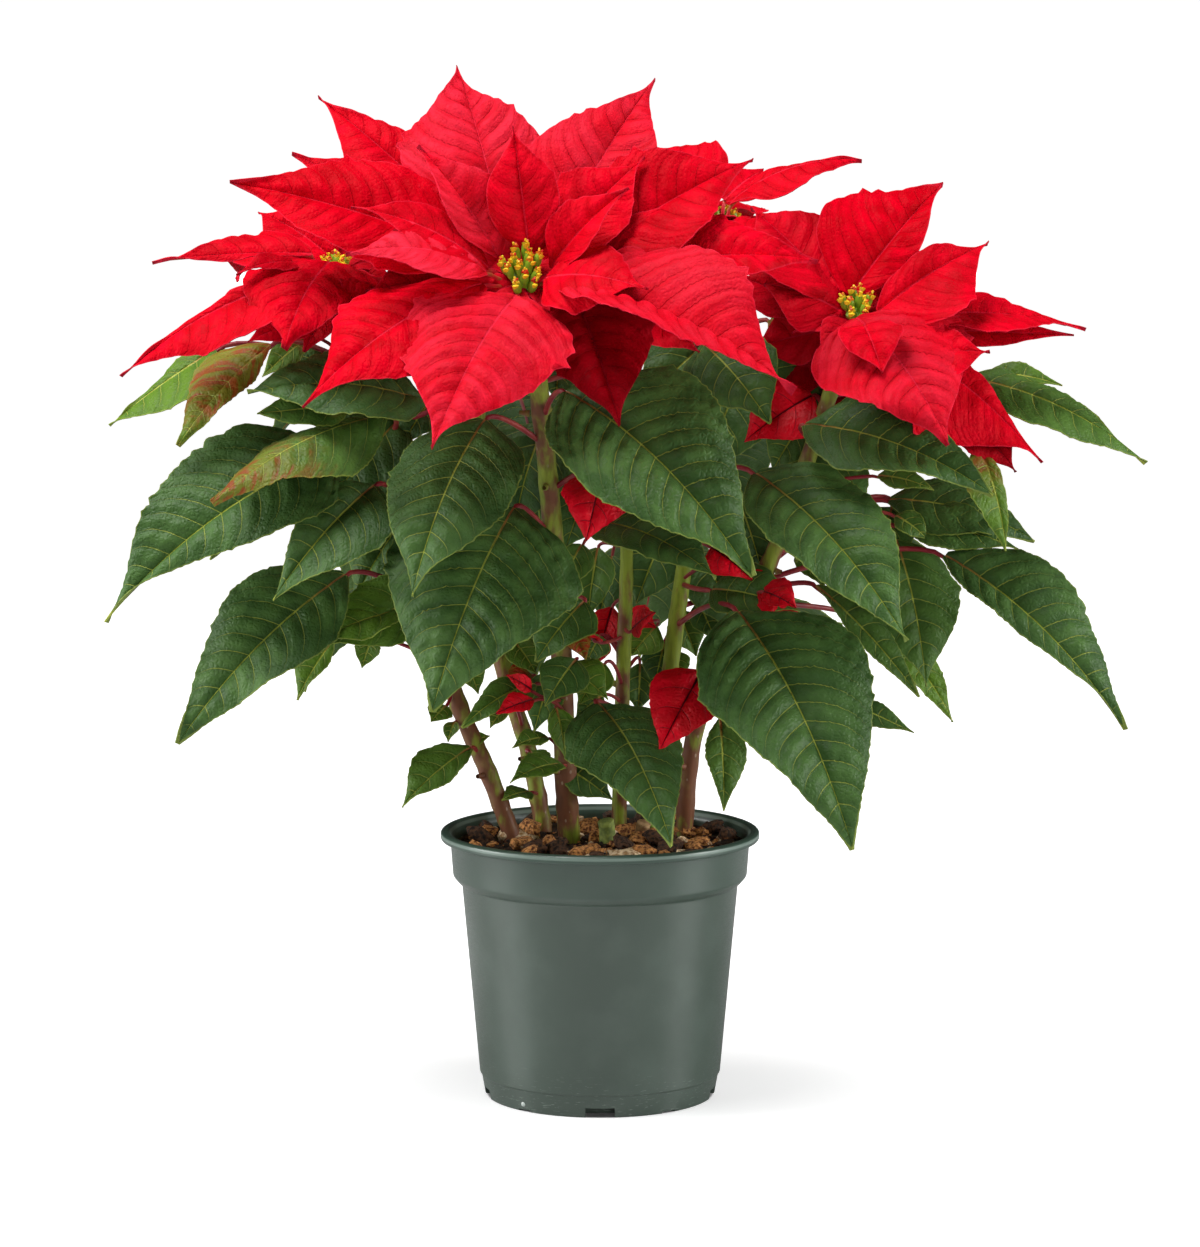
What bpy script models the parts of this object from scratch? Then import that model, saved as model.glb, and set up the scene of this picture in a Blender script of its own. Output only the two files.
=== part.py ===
"""Poinsettia in its nursery pot.

Metres, +Z up. The origin is the middle of the pot's flat underside. -Y is the plant's front.
Each leafy stem, flower head, cluster of cyathia, stump, the soil and the pot is one closed body.
"""

import math
from collections import namedtuple

import bmesh
import bpy
from mathutils import Vector

MM = 0.001
GAP = 0.3 * MM

# The pot, in millimetres
RIM_RADIUS = 82.7
RIM_HEIGHT = 139.0
LIP_DEPTH = 4.5
BAND_TOP_RADIUS = 77.7
BAND_BOTTOM_RADIUS = 76.3
BAND_BOTTOM = 115.7
WALL_TOP_RADIUS = 71.7
WALL_TOP = 111.4
STEP_RADIUS = 62.0
STEP_HEIGHT = 12.0
FOOT_RADIUS = 59.8
POT_WALL = 1.6
POT_FLOOR = 2.6
POT_SIDES = 32
NOTCH_HEIGHT = 5.2
NOTCH_REACH = 7.0
# Each drainage notch: its direction in degrees from the front, and its width
NOTCHES = [
    (0, 15), (90, 15), (180, 15), (270, 15),
    (40, 8), (144, 8), (216, 8), (320, 8),
]

# The soil
SOIL_HEIGHT = 131.5
SOIL_RELIEF = 1.3
SOIL_RINGS = [0.86, 0.50]
HOLE_BOTTOM = 92.0
HOLE_PLAY = 0.7
HOLE_SIDES = 12
CHIP_COUNT = 9
CHIP_LENGTH = 17.0

# The front view that the plant is laid out on: a grid of 1200 by 1247 squares, seen from this
# far in front of the pot's axis and this high above its underside, looking a little down
VIEW_DISTANCE = 2150.0
VIEW_HEIGHT = 504.0
VIEW_PITCH = math.radians(6.83)
VIEW_MIDDLE = (600.0, 623.5)
VIEW_SQUARES = 4194.0

BLADE_THICKNESS = 0.8
WAVE_HEIGHT = 0.045
PETIOLE_RADIUS = 1.3
SMALL_PETIOLE_RADIUS = 0.9
PETIOLE_STEPS = 2
BRACT_STALK_RADIUS = 1.0
STEM_SIDES = 7
HUB_RADIUS = 5.5
HUB_HEIGHT = 9.0
BUTTON_HEIGHT = 2.5
URN_SIDES = 5
# The turn from one bract or urn to the next: the golden angle, in radians
TURN = 2.4

# Half-width of each form of blade along its midrib, as a share of its greatest half-width
OUTLINES = {
    "leaf": [(0, 0.10), (0.12, 0.66), (0.33, 1.0), (0.54, 0.86), (0.74, 0.52), (0.89, 0.18), (1, 0)],
    "bract": [(0, 0.14), (0.15, 0.66), (0.40, 1.0), (0.60, 0.84), (0.78, 0.44), (0.91, 0.13), (1, 0)],
    "broad": [(0, 0.16), (0.10, 0.72), (0.30, 1.0), (0.52, 0.88), (0.74, 0.50), (0.89, 0.16), (1, 0)],
    "small": [(0, 0.14), (0.18, 0.76), (0.42, 1.0), (0.68, 0.64), (0.87, 0.22), (1, 0)],
}

Blade = namedtuple("Blade", "base tip width face arch fold form")


def seen(across, down, depth):
    """The point that the front view shows at this square, at this depth behind the pot's axis."""
    side = (across - VIEW_MIDDLE[0]) / VIEW_SQUARES
    rise = (VIEW_MIDDLE[1] - down) / VIEW_SQUARES
    forward = math.cos(VIEW_PITCH) + rise * math.sin(VIEW_PITCH)
    upward = rise * math.cos(VIEW_PITCH) - math.sin(VIEW_PITCH)
    reach = (VIEW_DISTANCE + depth) / forward
    return Vector((side * reach, depth, VIEW_HEIGHT + upward * reach))


def spot(x, y, z):
    """A point that the front view hides, in millimetres."""
    return Vector((x, y, z))


# Stems: name, radius at the soil, radius at the top, and the points of the middle line
STEMS = {
    "stem_front": (6.0, 4.6, [spot(-14, 8, 94), spot(-14, 8, 134), spot(-17, 4, 170), spot(-20, 0, 233),
                              spot(-25, -8, 305), spot(-31, -28, 370), spot(-38, -52, 419)]),
    "stem_left": (4.8, 3.8, [spot(-46, 2, 94), spot(-46, 2, 136), spot(-58, 4, 168), spot(-75, 6, 208),
                             spot(-94, 20, 270), spot(-112, 22, 345), spot(-133, 2, 419)]),
    "stem_back_left": (4.8, 3.8, [spot(-30, 32, 94), spot(-30, 32, 136), spot(-38, 36, 176), spot(-52, 44, 223),
                                  spot(-64, 62, 310), spot(-64, 80, 380), spot(-60, 92, 425)]),
    "stem_middle": (4.4, 3.2, [spot(10, 34, 94), spot(10, 34, 136), spot(12, 34, 210), spot(14, 32, 280),
                               spot(12, 26, 330)]),
    "stem_back_right": (4.8, 3.8, [spot(30, 36, 94), spot(30, 36, 136), spot(34, 38, 190), spot(40, 42, 240),
                                   spot(47, 50, 290), spot(57, 62, 370), spot(63, 72, 440)]),
    "stem_right": (4.8, 3.8, [spot(48, 16, 94), spot(48, 16, 136), spot(54, 12, 190), spot(72, 6, 240),
                              spot(94, 2, 294), spot(114, -4, 354), spot(129, -14, 399)]),
}

# Stumps: name, radius, foot and top
STUMPS = {
    "stump_green": (4.2, spot(4, -2, 94), spot(3, -4, 144)),
    "stump_tan": (3.6, spot(22, 4, 94), spot(23, 2, 142)),
}

# Leaves of each stem: height at which the petiole leaves the stem, and the blade
STEM_LEAVES = {
    "stem_front": [
        (340, Blade(seen(485, 420, -48), seen(412, 596, -112), 70, (-0.25, -0.85, 0.45), 0.10, -8, "leaf")),
        (290, Blade(seen(514, 508, -30), seen(432, 712, -92), 98, (-0.10, -0.85, 0.50), 0.12, -6, "leaf")),
        (352, Blade(seen(566, 392, -52), seen(752, 577, -108), 88, (0.20, -0.80, 0.55), 0.12, 8, "leaf")),
        (222, Blade(seen(576, 660, -20), seen(545, 706, -40), 27, (0.0, -0.8, 0.6), 0.10, 0, "small")),
        (208, Blade(seen(534, 684, -18), seen(462, 728, -42), 28, (-0.1, -0.6, 0.8), 0.10, 8, "small")),
        (172, Blade(seen(562, 765, -12), seen(510, 783, -42), 20, (0.0, -0.6, 0.8), 0.10, 10, "small")),
        (316, Blade(seen(602, 470, -36), seen(586, 541, -56), 35, (0.1, -0.9, 0.4), 0.08, -10, "small")),
    ],
    "stem_left": [
        (318, Blade(seen(333, 455, -14), seen(105, 622, -58), 76, (-0.15, -0.80, 0.60), 0.12, 6, "leaf")),
        (338, Blade(seen(385, 415, -22), seen(212, 503, -84), 52, (-0.20, -0.55, 0.80), 0.08, -30, "leaf")),
        (348, Blade(seen(425, 402, -20), seen(248, 394, -46), 62, (0.0, -0.55, 0.83), 0.10, 0, "leaf")),
        (300, Blade(seen(374, 486, -24), seen(273, 600, -76), 58, (0.05, -0.80, 0.60), 0.10, 10, "leaf")),
        (256, Blade(seen(345, 575, -6), seen(178, 744, -48), 62, (-0.15, -0.80, 0.58), 0.10, 4, "leaf")),
        (230, Blade(seen(400, 612, -14), seen(318, 643, -34), 40, (0.0, -0.5, 0.86), 0.08, 0, "small")),
        (224, Blade(seen(372, 655, 4), seen(295, 699, -12), 26, (-0.2, -0.6, 0.77), 0.08, 0, "small")),
        (212, Blade(seen(446, 706, -4), seen(431, 722, -14), 14, (0.0, -0.8, 0.6), 0.06, 0, "small")),
        (174, Blade(seen(471, 748, -2), seen(402, 807, -26), 32, (-0.1, -0.7, 0.7), 0.08, 0, "small")),
        (374, Blade(seen(270, 345, -14), seen(178, 446, -44), 44, (-0.20, -0.80, 0.55), 0.08, -14, "leaf")),
        (368, Blade(seen(215, 350, 14), seen(110, 426, 2), 32, (-0.25, -0.55, 0.80), 0.10, 0, "small")),
        (286, Blade(spot(-150, 60, 300), spot(-232, 118, 240), 60, (-0.45, 0.45, 0.77), 0.12, 4, "leaf")),
        (244, Blade(spot(-112, 48, 262), spot(-160, 108, 196), 52, (-0.40, 0.55, 0.73), 0.12, 0, "leaf")),
    ],
    "stem_back_left": [
        (200, Blade(seen(520, 705, 10), seen(490, 714, -14), 15, (0.0, -0.5, 0.86), 0.06, 10, "small")),
        (152, Blade(seen(530, 792, 14), seen(502, 800, -8), 14, (0.0, -0.6, 0.8), 0.06, 0, "small")),
        (372, Blade(spot(-104, 128, 372), spot(-186, 196, 322), 66, (-0.40, 0.50, 0.77), 0.12, 4, "leaf")),
        (350, Blade(spot(-44, 138, 356), spot(-34, 222, 276), 68, (0.05, 0.75, 0.66), 0.12, -4, "leaf")),
        (300, Blade(spot(-92, 110, 306), spot(-140, 182, 232), 62, (-0.30, 0.65, 0.70), 0.12, 4, "leaf")),
        (252, Blade(spot(-48, 92, 258), spot(-40, 158, 186), 56, (0.0, 0.75, 0.66), 0.12, 0, "leaf")),
    ],
    "stem_middle": [
        (196, Blade(seen(598, 704, -16), seen(672, 846, -94), 61, (0.15, -0.75, 0.60), 0.12, -6, "leaf")),
        (288, Blade(seen(596, 522, -10), seen(716, 578, -54), 46, (0.10, -0.60, 0.80), 0.10, 8, "leaf")),
        (236, Blade(seen(596, 640, 8), seen(574, 628, -14), 16, (-0.3, -0.8, 0.5), 0.06, 0, "small")),
        (240, Blade(seen(632, 630, 12), seen(655, 612, -6), 16, (0.2, -0.8, 0.5), 0.06, 0, "small")),
        (322, Blade(spot(4, 60, 334), spot(-22, 112, 300), 44, (-0.2, 0.6, 0.77), 0.10, 0, "leaf")),
        (308, Blade(spot(36, 20, 330), spot(62, -6, 332), 24, (0.2, -0.5, 0.84), 0.10, 0, "small")),
    ],
    "stem_back_right": [
        (240, Blade(seen(738, 612, -26), seen(853, 850, -104), 86, (0.20, -0.85, 0.45), 0.12, 4, "leaf")),
        (306, Blade(seen(756, 474, -34), seen(907, 641, -92), 64, (0.25, -0.80, 0.55), 0.10, 10, "leaf")),
        (362, Blade(seen(704, 345, 14), seen(770, 424, -22), 52, (0.10, -0.80, 0.60), 0.08, 0, "small")),
        (386, Blade(seen(770, 320, 56), seen(834, 350, 40), 32, (0.1, -0.6, 0.8), 0.08, 0, "small")),
        (264, Blade(seen(706, 566, 22), seen(763, 572, -4), 17, (0.0, -0.5, 0.86), 0.06, 0, "small")),
        (366, Blade(spot(98, 118, 372), spot(176, 184, 318), 66, (0.40, 0.50, 0.77), 0.12, 4, "leaf")),
        (344, Blade(spot(62, 122, 344), spot(72, 212, 272), 66, (0.05, 0.75, 0.66), 0.12, -4, "leaf")),
        (282, Blade(spot(36, 96, 282), spot(22, 170, 206), 58, (-0.05, 0.75, 0.66), 0.12, 4, "leaf")),
        (250, Blade(spot(84, 84, 252), spot(130, 140, 184), 54, (0.35, 0.60, 0.72), 0.12, 0, "leaf")),
    ],
    "stem_right": [
        (340, Blade(seen(805, 425, -24), seen(993, 495, -72), 56, (0.10, -0.70, 0.70), 0.10, 6, "leaf")),
        (366, Blade(seen(968, 378, 8), seen(1146, 463, -14), 40, (0.20, -0.60, 0.78), 0.12, 6, "leaf")),
        (268, Blade(seen(945, 556, -4), seen(1124, 730, -42), 62, (0.20, -0.80, 0.56), 0.12, 6, "leaf")),
        (310, Blade(seen(890, 500, 26), seen(1035, 541, 12), 40, (0.10, -0.60, 0.79), 0.10, 0, "small")),
        (282, Blade(seen(896, 540, 18), seen(926, 687, -16), 52, (0.25, -0.85, 0.45), 0.08, 0, "leaf")),
        (262, Blade(seen(816, 586, 6), seen(919, 697, -24), 36, (-0.10, -0.75, 0.65), 0.10, 0, "leaf")),
        (256, Blade(seen(880, 628, 44), seen(953, 722, 26), 34, (0.2, -0.7, 0.68), 0.10, 0, "small")),
        (250, Blade(seen(850, 655, 30), seen(914, 733, 16), 20, (-0.1, -0.7, 0.70), 0.08, 0, "small")),
        (206, Blade(seen(720, 720, -8), seen(724, 811, -34), 25, (0.1, -0.9, 0.45), 0.08, 0, "small")),
        (214, Blade(seen(702, 672, -36), seen(660, 750, -58), 34, (-0.1, -0.9, 0.40), 0.06, 0, "small")),
        (258, Blade(seen(764, 592, -14), seen(796, 608, -30), 15, (0.1, -0.7, 0.7), 0.06, 0, "small")),
        (352, Blade(seen(986, 446, -34), seen(1011, 550, -50), 22, (0.35, -0.85, 0.35), 0.08, 0, "small")),
        (322, Blade(spot(150, 58, 336), spot(232, 116, 286), 60, (0.45, 0.40, 0.80), 0.12, 4, "leaf")),
        (276, Blade(spot(126, 60, 290), spot(186, 124, 226), 58, (0.45, 0.55, 0.70), 0.12, 0, "leaf")),
    ],
}

# Bracts of each flower head, all on one hub at the top of its stem
BLOOM_BRACTS = {
    "bloom_front": [
        Blade(seen(508, 252, -44), seen(457, 66, 26), 78, (0.05, -0.72, 0.68), 0.05, 8, "bract"),
        Blade(seen(498, 256, -52), seen(418, 146, -52), 36, (0.30, -0.80, 0.50), 0.06, 24, "bract"),
        Blade(seen(529, 252, -50), seen(513, 127, -46), 38, (0.0, -0.85, 0.45), 0.06, 18, "bract"),
        Blade(seen(546, 256, -42), seen(655, 78, 8), 62, (0.10, -0.75, 0.65), 0.06, 6, "bract"),
        Blade(seen(546, 262, -52), seen(645, 158, -44), 46, (-0.10, -0.80, 0.60), 0.06, 4, "bract"),
        Blade(seen(552, 268, -58), seen(629, 188, -78), 30, (-0.1, -0.8, 0.6), 0.08, 20, "bract"),
        Blade(seen(566, 272, -52), seen(753, 159, -36), 66, (-0.10, -0.80, 0.60), 0.06, 10, "bract"),
        Blade(seen(546, 278, -70), seen(648, 290, -104), 44, (0.05, -0.80, 0.60), 0.10, -8, "broad"),
        Blade(seen(574, 280, -60), seen(818, 260, -62), 60, (0.05, -0.70, 0.70), 0.08, 6, "bract"),
        Blade(seen(560, 290, -70), seen(794, 392, -128), 76, (0.25, -0.62, 0.74), 0.10, 26, "bract"),
        Blade(seen(516, 296, -74), seen(432, 449, -146), 82, (-0.05, -0.74, 0.66), 0.10, -6, "broad"),
        Blade(seen(482, 284, -68), seen(302, 407, -112), 62, (-0.30, -0.76, 0.56), 0.10, -10, "bract"),
        Blade(seen(478, 258, -48), seen(230, 183, -44), 62, (0.05, -0.78, 0.62), 0.06, 8, "bract"),
        Blade(seen(488, 268, -60), seen(351, 207, -78), 30, (0.10, -0.66, 0.74), 0.10, 6, "bract"),
        Blade(seen(486, 272, -66), seen(346, 254, -100), 38, (0.0, -0.62, 0.78), 0.12, -4, "bract"),
        Blade(seen(484, 252, -36), seen(319, 99, 10), 56, (0.05, -0.78, 0.62), 0.06, 6, "bract"),
        Blade(seen(578, 304, -62), seen(620, 425, -106), 58, (0.05, -0.84, 0.52), 0.08, 8, "broad"),
    ],
    "bloom_left": [
        Blade(seen(312, 254, -8), seen(152, 262, -12), 40, (-0.05, -0.62, 0.78), 0.10, 0, "bract"),
        Blade(seen(330, 262, -20), seen(284, 349, -62), 74, (-0.20, -0.82, 0.54), 0.12, -8, "broad"),
        Blade(seen(306, 278, -18), seen(122, 377, -38), 44, (-0.20, -0.72, 0.66), 0.10, 4, "bract"),
        Blade(seen(310, 266, -14), seen(236, 274, -40), 30, (-0.20, -0.60, 0.77), 0.10, 0, "small"),
        Blade(spot(-150, 8, 430), spot(-206, 66, 412), 46, (-0.35, 0.20, 0.90), 0.14, 0, "bract"),
        Blade(spot(-138, 14, 432), spot(-160, 92, 410), 48, (-0.10, 0.30, 0.94), 0.14, 0, "bract"),
        Blade(spot(-126, 8, 432), spot(-96, 44, 428), 36, (0.20, 0.20, 0.95), 0.14, 0, "small"),
        Blade(spot(-121, -22, 424), spot(-106, -54, 408), 34, (0.20, -0.50, 0.84), 0.14, 0, "small"),
    ],
    "bloom_right": [
        Blade(seen(850, 296, -16), seen(943, 183, 26), 68, (0.0, -0.80, 0.60), 0.06, 8, "bract"),
        Blade(seen(878, 312, -26), seen(988, 243, -16), 46, (0.0, -0.78, 0.62), 0.08, 12, "bract"),
        Blade(seen(890, 322, -18), seen(1085, 331, -16), 36, (0.10, -0.45, 0.88), 0.08, 10, "bract"),
        Blade(seen(856, 318, -34), seen(949, 445, -84), 78, (0.10, -0.78, 0.60), 0.12, -8, "broad"),
        Blade(seen(864, 326, -42), seen(882, 373, -66), 34, (0.0, -0.80, 0.60), 0.10, 16, "small"),
        Blade(seen(840, 300, -14), seen(751, 209, 22), 54, (0.20, -0.80, 0.55), 0.06, 6, "bract"),
        Blade(seen(842, 312, -18), seen(764, 284, -10), 42, (0.0, -0.78, 0.62), 0.10, -6, "small"),
        Blade(seen(880, 334, -12), seen(1041, 463, -30), 50, (0.25, -0.75, 0.60), 0.10, 0, "bract"),
        Blade(seen(838, 340, 10), seen(790, 464, 32), 40, (-0.25, -0.85, 0.40), 0.08, 0, "bract"),
        Blade(spot(142, 2, 404), spot(196, 66, 404), 48, (0.25, 0.10, 0.95), 0.14, 0, "bract"),
        Blade(spot(128, 6, 404), spot(136, 84, 396), 50, (0.0, 0.25, 0.96), 0.14, 0, "bract"),
    ],
    "bloom_back_right": [
        Blade(seen(730, 204, 62), seen(862, 160, 40), 40, (-0.10, -0.50, 0.85), 0.12, -14, "bract"),
        Blade(seen(712, 202, 64), seen(650, 146, 92), 50, (0.05, -0.80, 0.60), 0.08, 0, "bract"),
        Blade(seen(724, 200, 66), seen(763, 171, 92), 28, (0.0, -0.80, 0.60), 0.08, 0, "small"),
        Blade(spot(74, 64, 452), spot(112, 22, 430), 42, (0.40, -0.50, 0.77), 0.12, 0, "small"),
        Blade(spot(78, 78, 456), spot(154, 106, 436), 54, (0.35, 0.10, 0.93), 0.14, 0, "bract"),
        Blade(spot(74, 86, 456), spot(124, 168, 428), 58, (0.20, 0.35, 0.91), 0.14, 4, "bract"),
        Blade(spot(62, 88, 456), spot(58, 180, 430), 58, (0.0, 0.35, 0.93), 0.14, -4, "bract"),
        Blade(spot(54, 80, 458), spot(2, 140, 450), 50, (-0.20, 0.25, 0.94), 0.14, 4, "bract"),
    ],
    "bloom_back_left": [
        Blade(spot(-72, 96, 440), spot(-166, 110, 440), 56, (-0.25, 0.0, 0.96), 0.10, 4, "bract"),
        Blade(spot(-68, 102, 440), spot(-136, 172, 420), 60, (-0.25, 0.30, 0.92), 0.14, -4, "bract"),
        Blade(spot(-58, 106, 440), spot(-70, 204, 412), 60, (-0.05, 0.35, 0.93), 0.14, 4, "bract"),
        Blade(spot(-52, 100, 440), spot(-8, 170, 424), 54, (0.20, 0.30, 0.92), 0.14, -4, "bract"),
        Blade(spot(-50, 90, 442), spot(20, 84, 448), 44, (0.15, 0.0, 0.98), 0.14, 0, "bract"),
        Blade(spot(-60, 82, 442), spot(-48, 22, 452), 40, (0.0, -0.2, 0.98), 0.14, 0, "bract"),
        Blade(spot(-72, 86, 440), spot(-132, 52, 446), 44, (-0.2, -0.2, 0.95), 0.14, 0, "bract"),
    ],
}

# Cyathia: how many urns stand on each hub, their height, and how far they spread
CYATHIA = {
    "bloom_front": (11, 13.0, 9.0),
    "bloom_left": (5, 10.0, 6.0),
    "bloom_right": (7, 11.0, 7.0),
    "bloom_back_right": (5, 10.0, 6.0),
    "bloom_back_left": (5, 10.0, 6.0),
}
BLOOM_STEMS = {
    "bloom_front": "stem_front",
    "bloom_left": "stem_left",
    "bloom_right": "stem_right",
    "bloom_back_right": "stem_back_right",
    "bloom_back_left": "stem_back_left",
}
# The way that each flower head faces
BLOOM_FACING = {
    "bloom_front": (0.0, -0.80, 0.60),
    "bloom_left": (-0.10, -0.50, 0.86),
    "bloom_right": (0.0, -0.70, 0.71),
    "bloom_back_right": (0.10, 0.15, 0.98),
    "bloom_back_left": (-0.05, 0.15, 0.98),
}

# Colour, roughness and metallic value of each material
MATERIALS = {
    "pot": ((0.075, 0.105, 0.085, 1), 0.42, 0.0),
    "soil": ((0.075, 0.035, 0.018, 1), 0.95, 0.0),
    "leaf": ((0.028, 0.085, 0.030, 1), 0.50, 0.0),
    "bract": ((0.740, 0.010, 0.020, 1), 0.55, 0.0),
    "cyathium": ((0.340, 0.360, 0.020, 1), 0.50, 0.0),
    "stump_green": ((0.130, 0.170, 0.050, 1), 0.70, 0.0),
    "stump_tan": ((0.420, 0.290, 0.160, 1), 0.80, 0.0),
}


def clear_scene():
    """Remove whatever the file holds."""
    for item in list(bpy.data.objects):
        bpy.data.objects.remove(item, do_unlink=True)


def material(name):
    """The Principled material of that name."""
    found = bpy.data.materials.get(name)
    if found:
        return found
    made = bpy.data.materials.new(name)
    made.use_nodes = True
    shader = made.node_tree.nodes["Principled BSDF"]
    colour, roughness, metallic = MATERIALS[name]
    shader.inputs["Base Color"].default_value = colour
    shader.inputs["Roughness"].default_value = roughness
    shader.inputs["Metallic"].default_value = metallic
    return made


def mesh_object(name, points, faces):
    """An object from points in millimetres, with its faces turned outward."""
    mesh = bpy.data.meshes.new(name)
    mesh.from_pydata([point * MM for point in points], [], faces)
    work = bmesh.new()
    work.from_mesh(mesh)
    bmesh.ops.recalc_face_normals(work, faces=work.faces)
    work.to_mesh(mesh)
    work.free()
    made = bpy.data.objects.new(name, mesh)
    bpy.context.scene.collection.objects.link(made)
    return made


def apply_modifiers(item):
    """Keep the shape that the modifiers give, and drop the modifiers."""
    depsgraph = bpy.context.evaluated_depsgraph_get()
    finished = bpy.data.meshes.new_from_object(item.evaluated_get(depsgraph))
    item.modifiers.clear()
    item.data = finished


def boolean(item, others, operation):
    """Join the other objects to this one, or cut them from it, and remove them."""
    group = bpy.data.collections.new(item.name + "_operands")
    bpy.context.scene.collection.children.link(group)
    for other in others:
        group.objects.link(other)
    step = item.modifiers.new("step", "BOOLEAN")
    step.operation = operation
    step.operand_type = "COLLECTION"
    step.collection = group
    step.solver = "EXACT"
    apply_modifiers(item)
    for other in others:
        bpy.data.objects.remove(other, do_unlink=True)
    bpy.data.collections.remove(group)


def keep_largest_shell(item):
    """Fill the hollows that joining has sealed, and drop any loose scrap."""
    work = bmesh.new()
    work.from_mesh(item.data)
    left = set(work.faces)
    shells = []
    while left:
        front = [left.pop()]
        shell = set(front)
        while front:
            face = front.pop()
            near = {other for edge in face.edges for other in edge.link_faces} & left
            left -= near
            shell |= near
            front.extend(near)
        shells.append(shell)
    largest = max(shells, key=lambda shell: sum(face.calc_area() for face in shell))
    others = [face for shell in shells if shell is not largest for face in shell]
    bmesh.ops.delete(work, geom=others, context="FACES")
    work.to_mesh(item.data)
    work.free()


def finish(item, name, material_name):
    """Name the object and give it its material."""
    item.name = name
    item.data.name = name
    item.data.materials.clear()
    item.data.materials.append(material(material_name))


def tube(points, radii, sides):
    """A closed tube with flat ends through the points, kept from twisting."""
    rings = []
    across = None
    for index, point in enumerate(points):
        before = points[max(index - 1, 0)]
        after = points[min(index + 1, len(points) - 1)]
        along = (after - before).normalized()
        if across is None:
            across = along.orthogonal()
        across = (across - along * across.dot(along)).normalized()
        other = along.cross(across)
        ring = []
        for side in range(sides):
            turn = 2 * math.pi * side / sides
            ring.append(point + (across * math.cos(turn) + other * math.sin(turn)) * radii[index])
        rings.append(ring)
    corners = [corner for ring in rings for corner in ring]
    faces = []
    for index in range(len(rings) - 1):
        for side in range(sides):
            near = index * sides + side
            near_next = index * sides + (side + 1) % sides
            faces.append((near, near_next, near_next + sides, near + sides))
    faces.append(tuple(range(sides)))
    faces.append(tuple(range(len(corners) - sides, len(corners))))
    return mesh_object("tube", corners, faces)


def smooth_path(points, steps):
    """A Catmull-Rom curve through the points, with this many steps between each two."""
    path = []
    for index in range(len(points) - 1):
        before = points[max(index - 1, 0)]
        start = points[index]
        end = points[index + 1]
        after = points[min(index + 2, len(points) - 1)]
        for step in range(steps):
            t = step / steps
            path.append(0.5 * (2 * start + (end - before) * t
                               + (2 * before - 5 * start + 4 * end - after) * t ** 2
                               + (3 * start - before - 3 * end + after) * t ** 3))
    path.append(points[-1])
    return path


def point_at_height(path, height):
    """Where the path crosses this height."""
    for low, high in zip(path, path[1:]):
        if low.z <= height <= high.z:
            return low.lerp(high, (height - low.z) / (high.z - low.z))
    return path[-1]


def blade_frame(blade):
    """The blade's length, its direction, the way across it and the way that it faces."""
    chord = blade.tip - blade.base
    along = chord.normalized()
    face = Vector(blade.face)
    face = (face - along * face.dot(along)).normalized()
    return chord.length, along, along.cross(face), face


def midrib(blade, t):
    """The midrib's point and direction at this share of its length: a quadratic Bezier curve."""
    length, along, _, face = blade_frame(blade)
    top = blade.base + along * length * 0.5 + face * length * blade.arch * 2
    point = blade.base * (1 - t) ** 2 + top * 2 * t * (1 - t) + blade.tip * t ** 2
    heading = (top - blade.base) * (1 - t) + (blade.tip - top) * t
    return point, heading.normalized()


def petiole_path(root, control, blade):
    """Points and directions along the petiole: a quadratic Bezier curve up to the blade's base."""
    path = []
    for step in range(PETIOLE_STEPS):
        t = step / PETIOLE_STEPS
        point = root * (1 - t) ** 2 + control * 2 * t * (1 - t) + blade.base * t ** 2
        heading = (control - root) * (1 - t) + (blade.base - control) * t
        path.append((point, heading.normalized()))
    return path


def blade_solid(blade, root, control, radius, phase):
    """A petiole and its thin blade in one closed solid: folded at the midrib, arched and waved."""
    _, _, across, _ = blade_frame(blade)
    fold = math.radians(blade.fold)
    rows = []
    for t, share in OUTLINES[blade.form]:
        middle, heading = midrib(blade, t)
        normal = across.cross(heading).normalized()
        half = share * blade.width / 2
        thickness = BLADE_THICKNESS if t > 0 else radius * 1.4
        row = []
        for s in (-1, 0, 1) if share > 0 else (0,):
            wave = WAVE_HEIGHT * blade.width * s * s * math.sin(10 * t + phase + s) * min(1, t * 4)
            lift = abs(s) * half * math.sin(fold) + wave
            point = middle + across * s * half * math.cos(fold) + normal * lift
            row.append((point + normal * thickness / 2, point - normal * thickness / 2))
        rows.append(row)
    side = across
    for middle, heading in reversed(petiole_path(root, control, blade)):
        side = (side - heading * side.dot(heading)).normalized()
        normal = side.cross(heading)
        row = []
        for s in (-1, 0, 1):
            point = middle + side * s * radius
            thickness = radius * (2 - 1.2 * abs(s))
            row.append((point + normal * thickness / 2, point - normal * thickness / 2))
        rows.insert(0, row)
    return sheet_solid(rows)


def sheet_solid(rows):
    """A closed solid from rows of upper and lower points, three in each row and one at the tip."""
    upper = [pair[0] for row in rows for pair in row]
    lower = [pair[1] for row in rows for pair in row]
    last = len(rows) - 1
    tip = last * 3
    sheet = []
    for row in range(last - 1):
        for corner in (row * 3, row * 3 + 1):
            sheet.append((corner, corner + 1, corner + 3))
            sheet.append((corner + 1, corner + 4, corner + 3))
    sheet.append((tip - 3, tip - 2, tip))
    sheet.append((tip - 2, tip - 1, tip))
    rim = [0, 1, 2]
    rim += [row * 3 + 2 for row in range(1, last)]
    rim += [tip]
    rim += [row * 3 for row in range(last - 1, 0, -1)]
    count = len(upper)
    faces = list(sheet)
    faces += [tuple(reversed([corner + count for corner in face])) for face in sheet]
    for start, end in zip(rim, rim[1:] + rim[:1]):
        faces.append((start, start + count, end + count))
        faces.append((start, end + count, end))
    return mesh_object("blade", upper + lower, faces)


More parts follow.
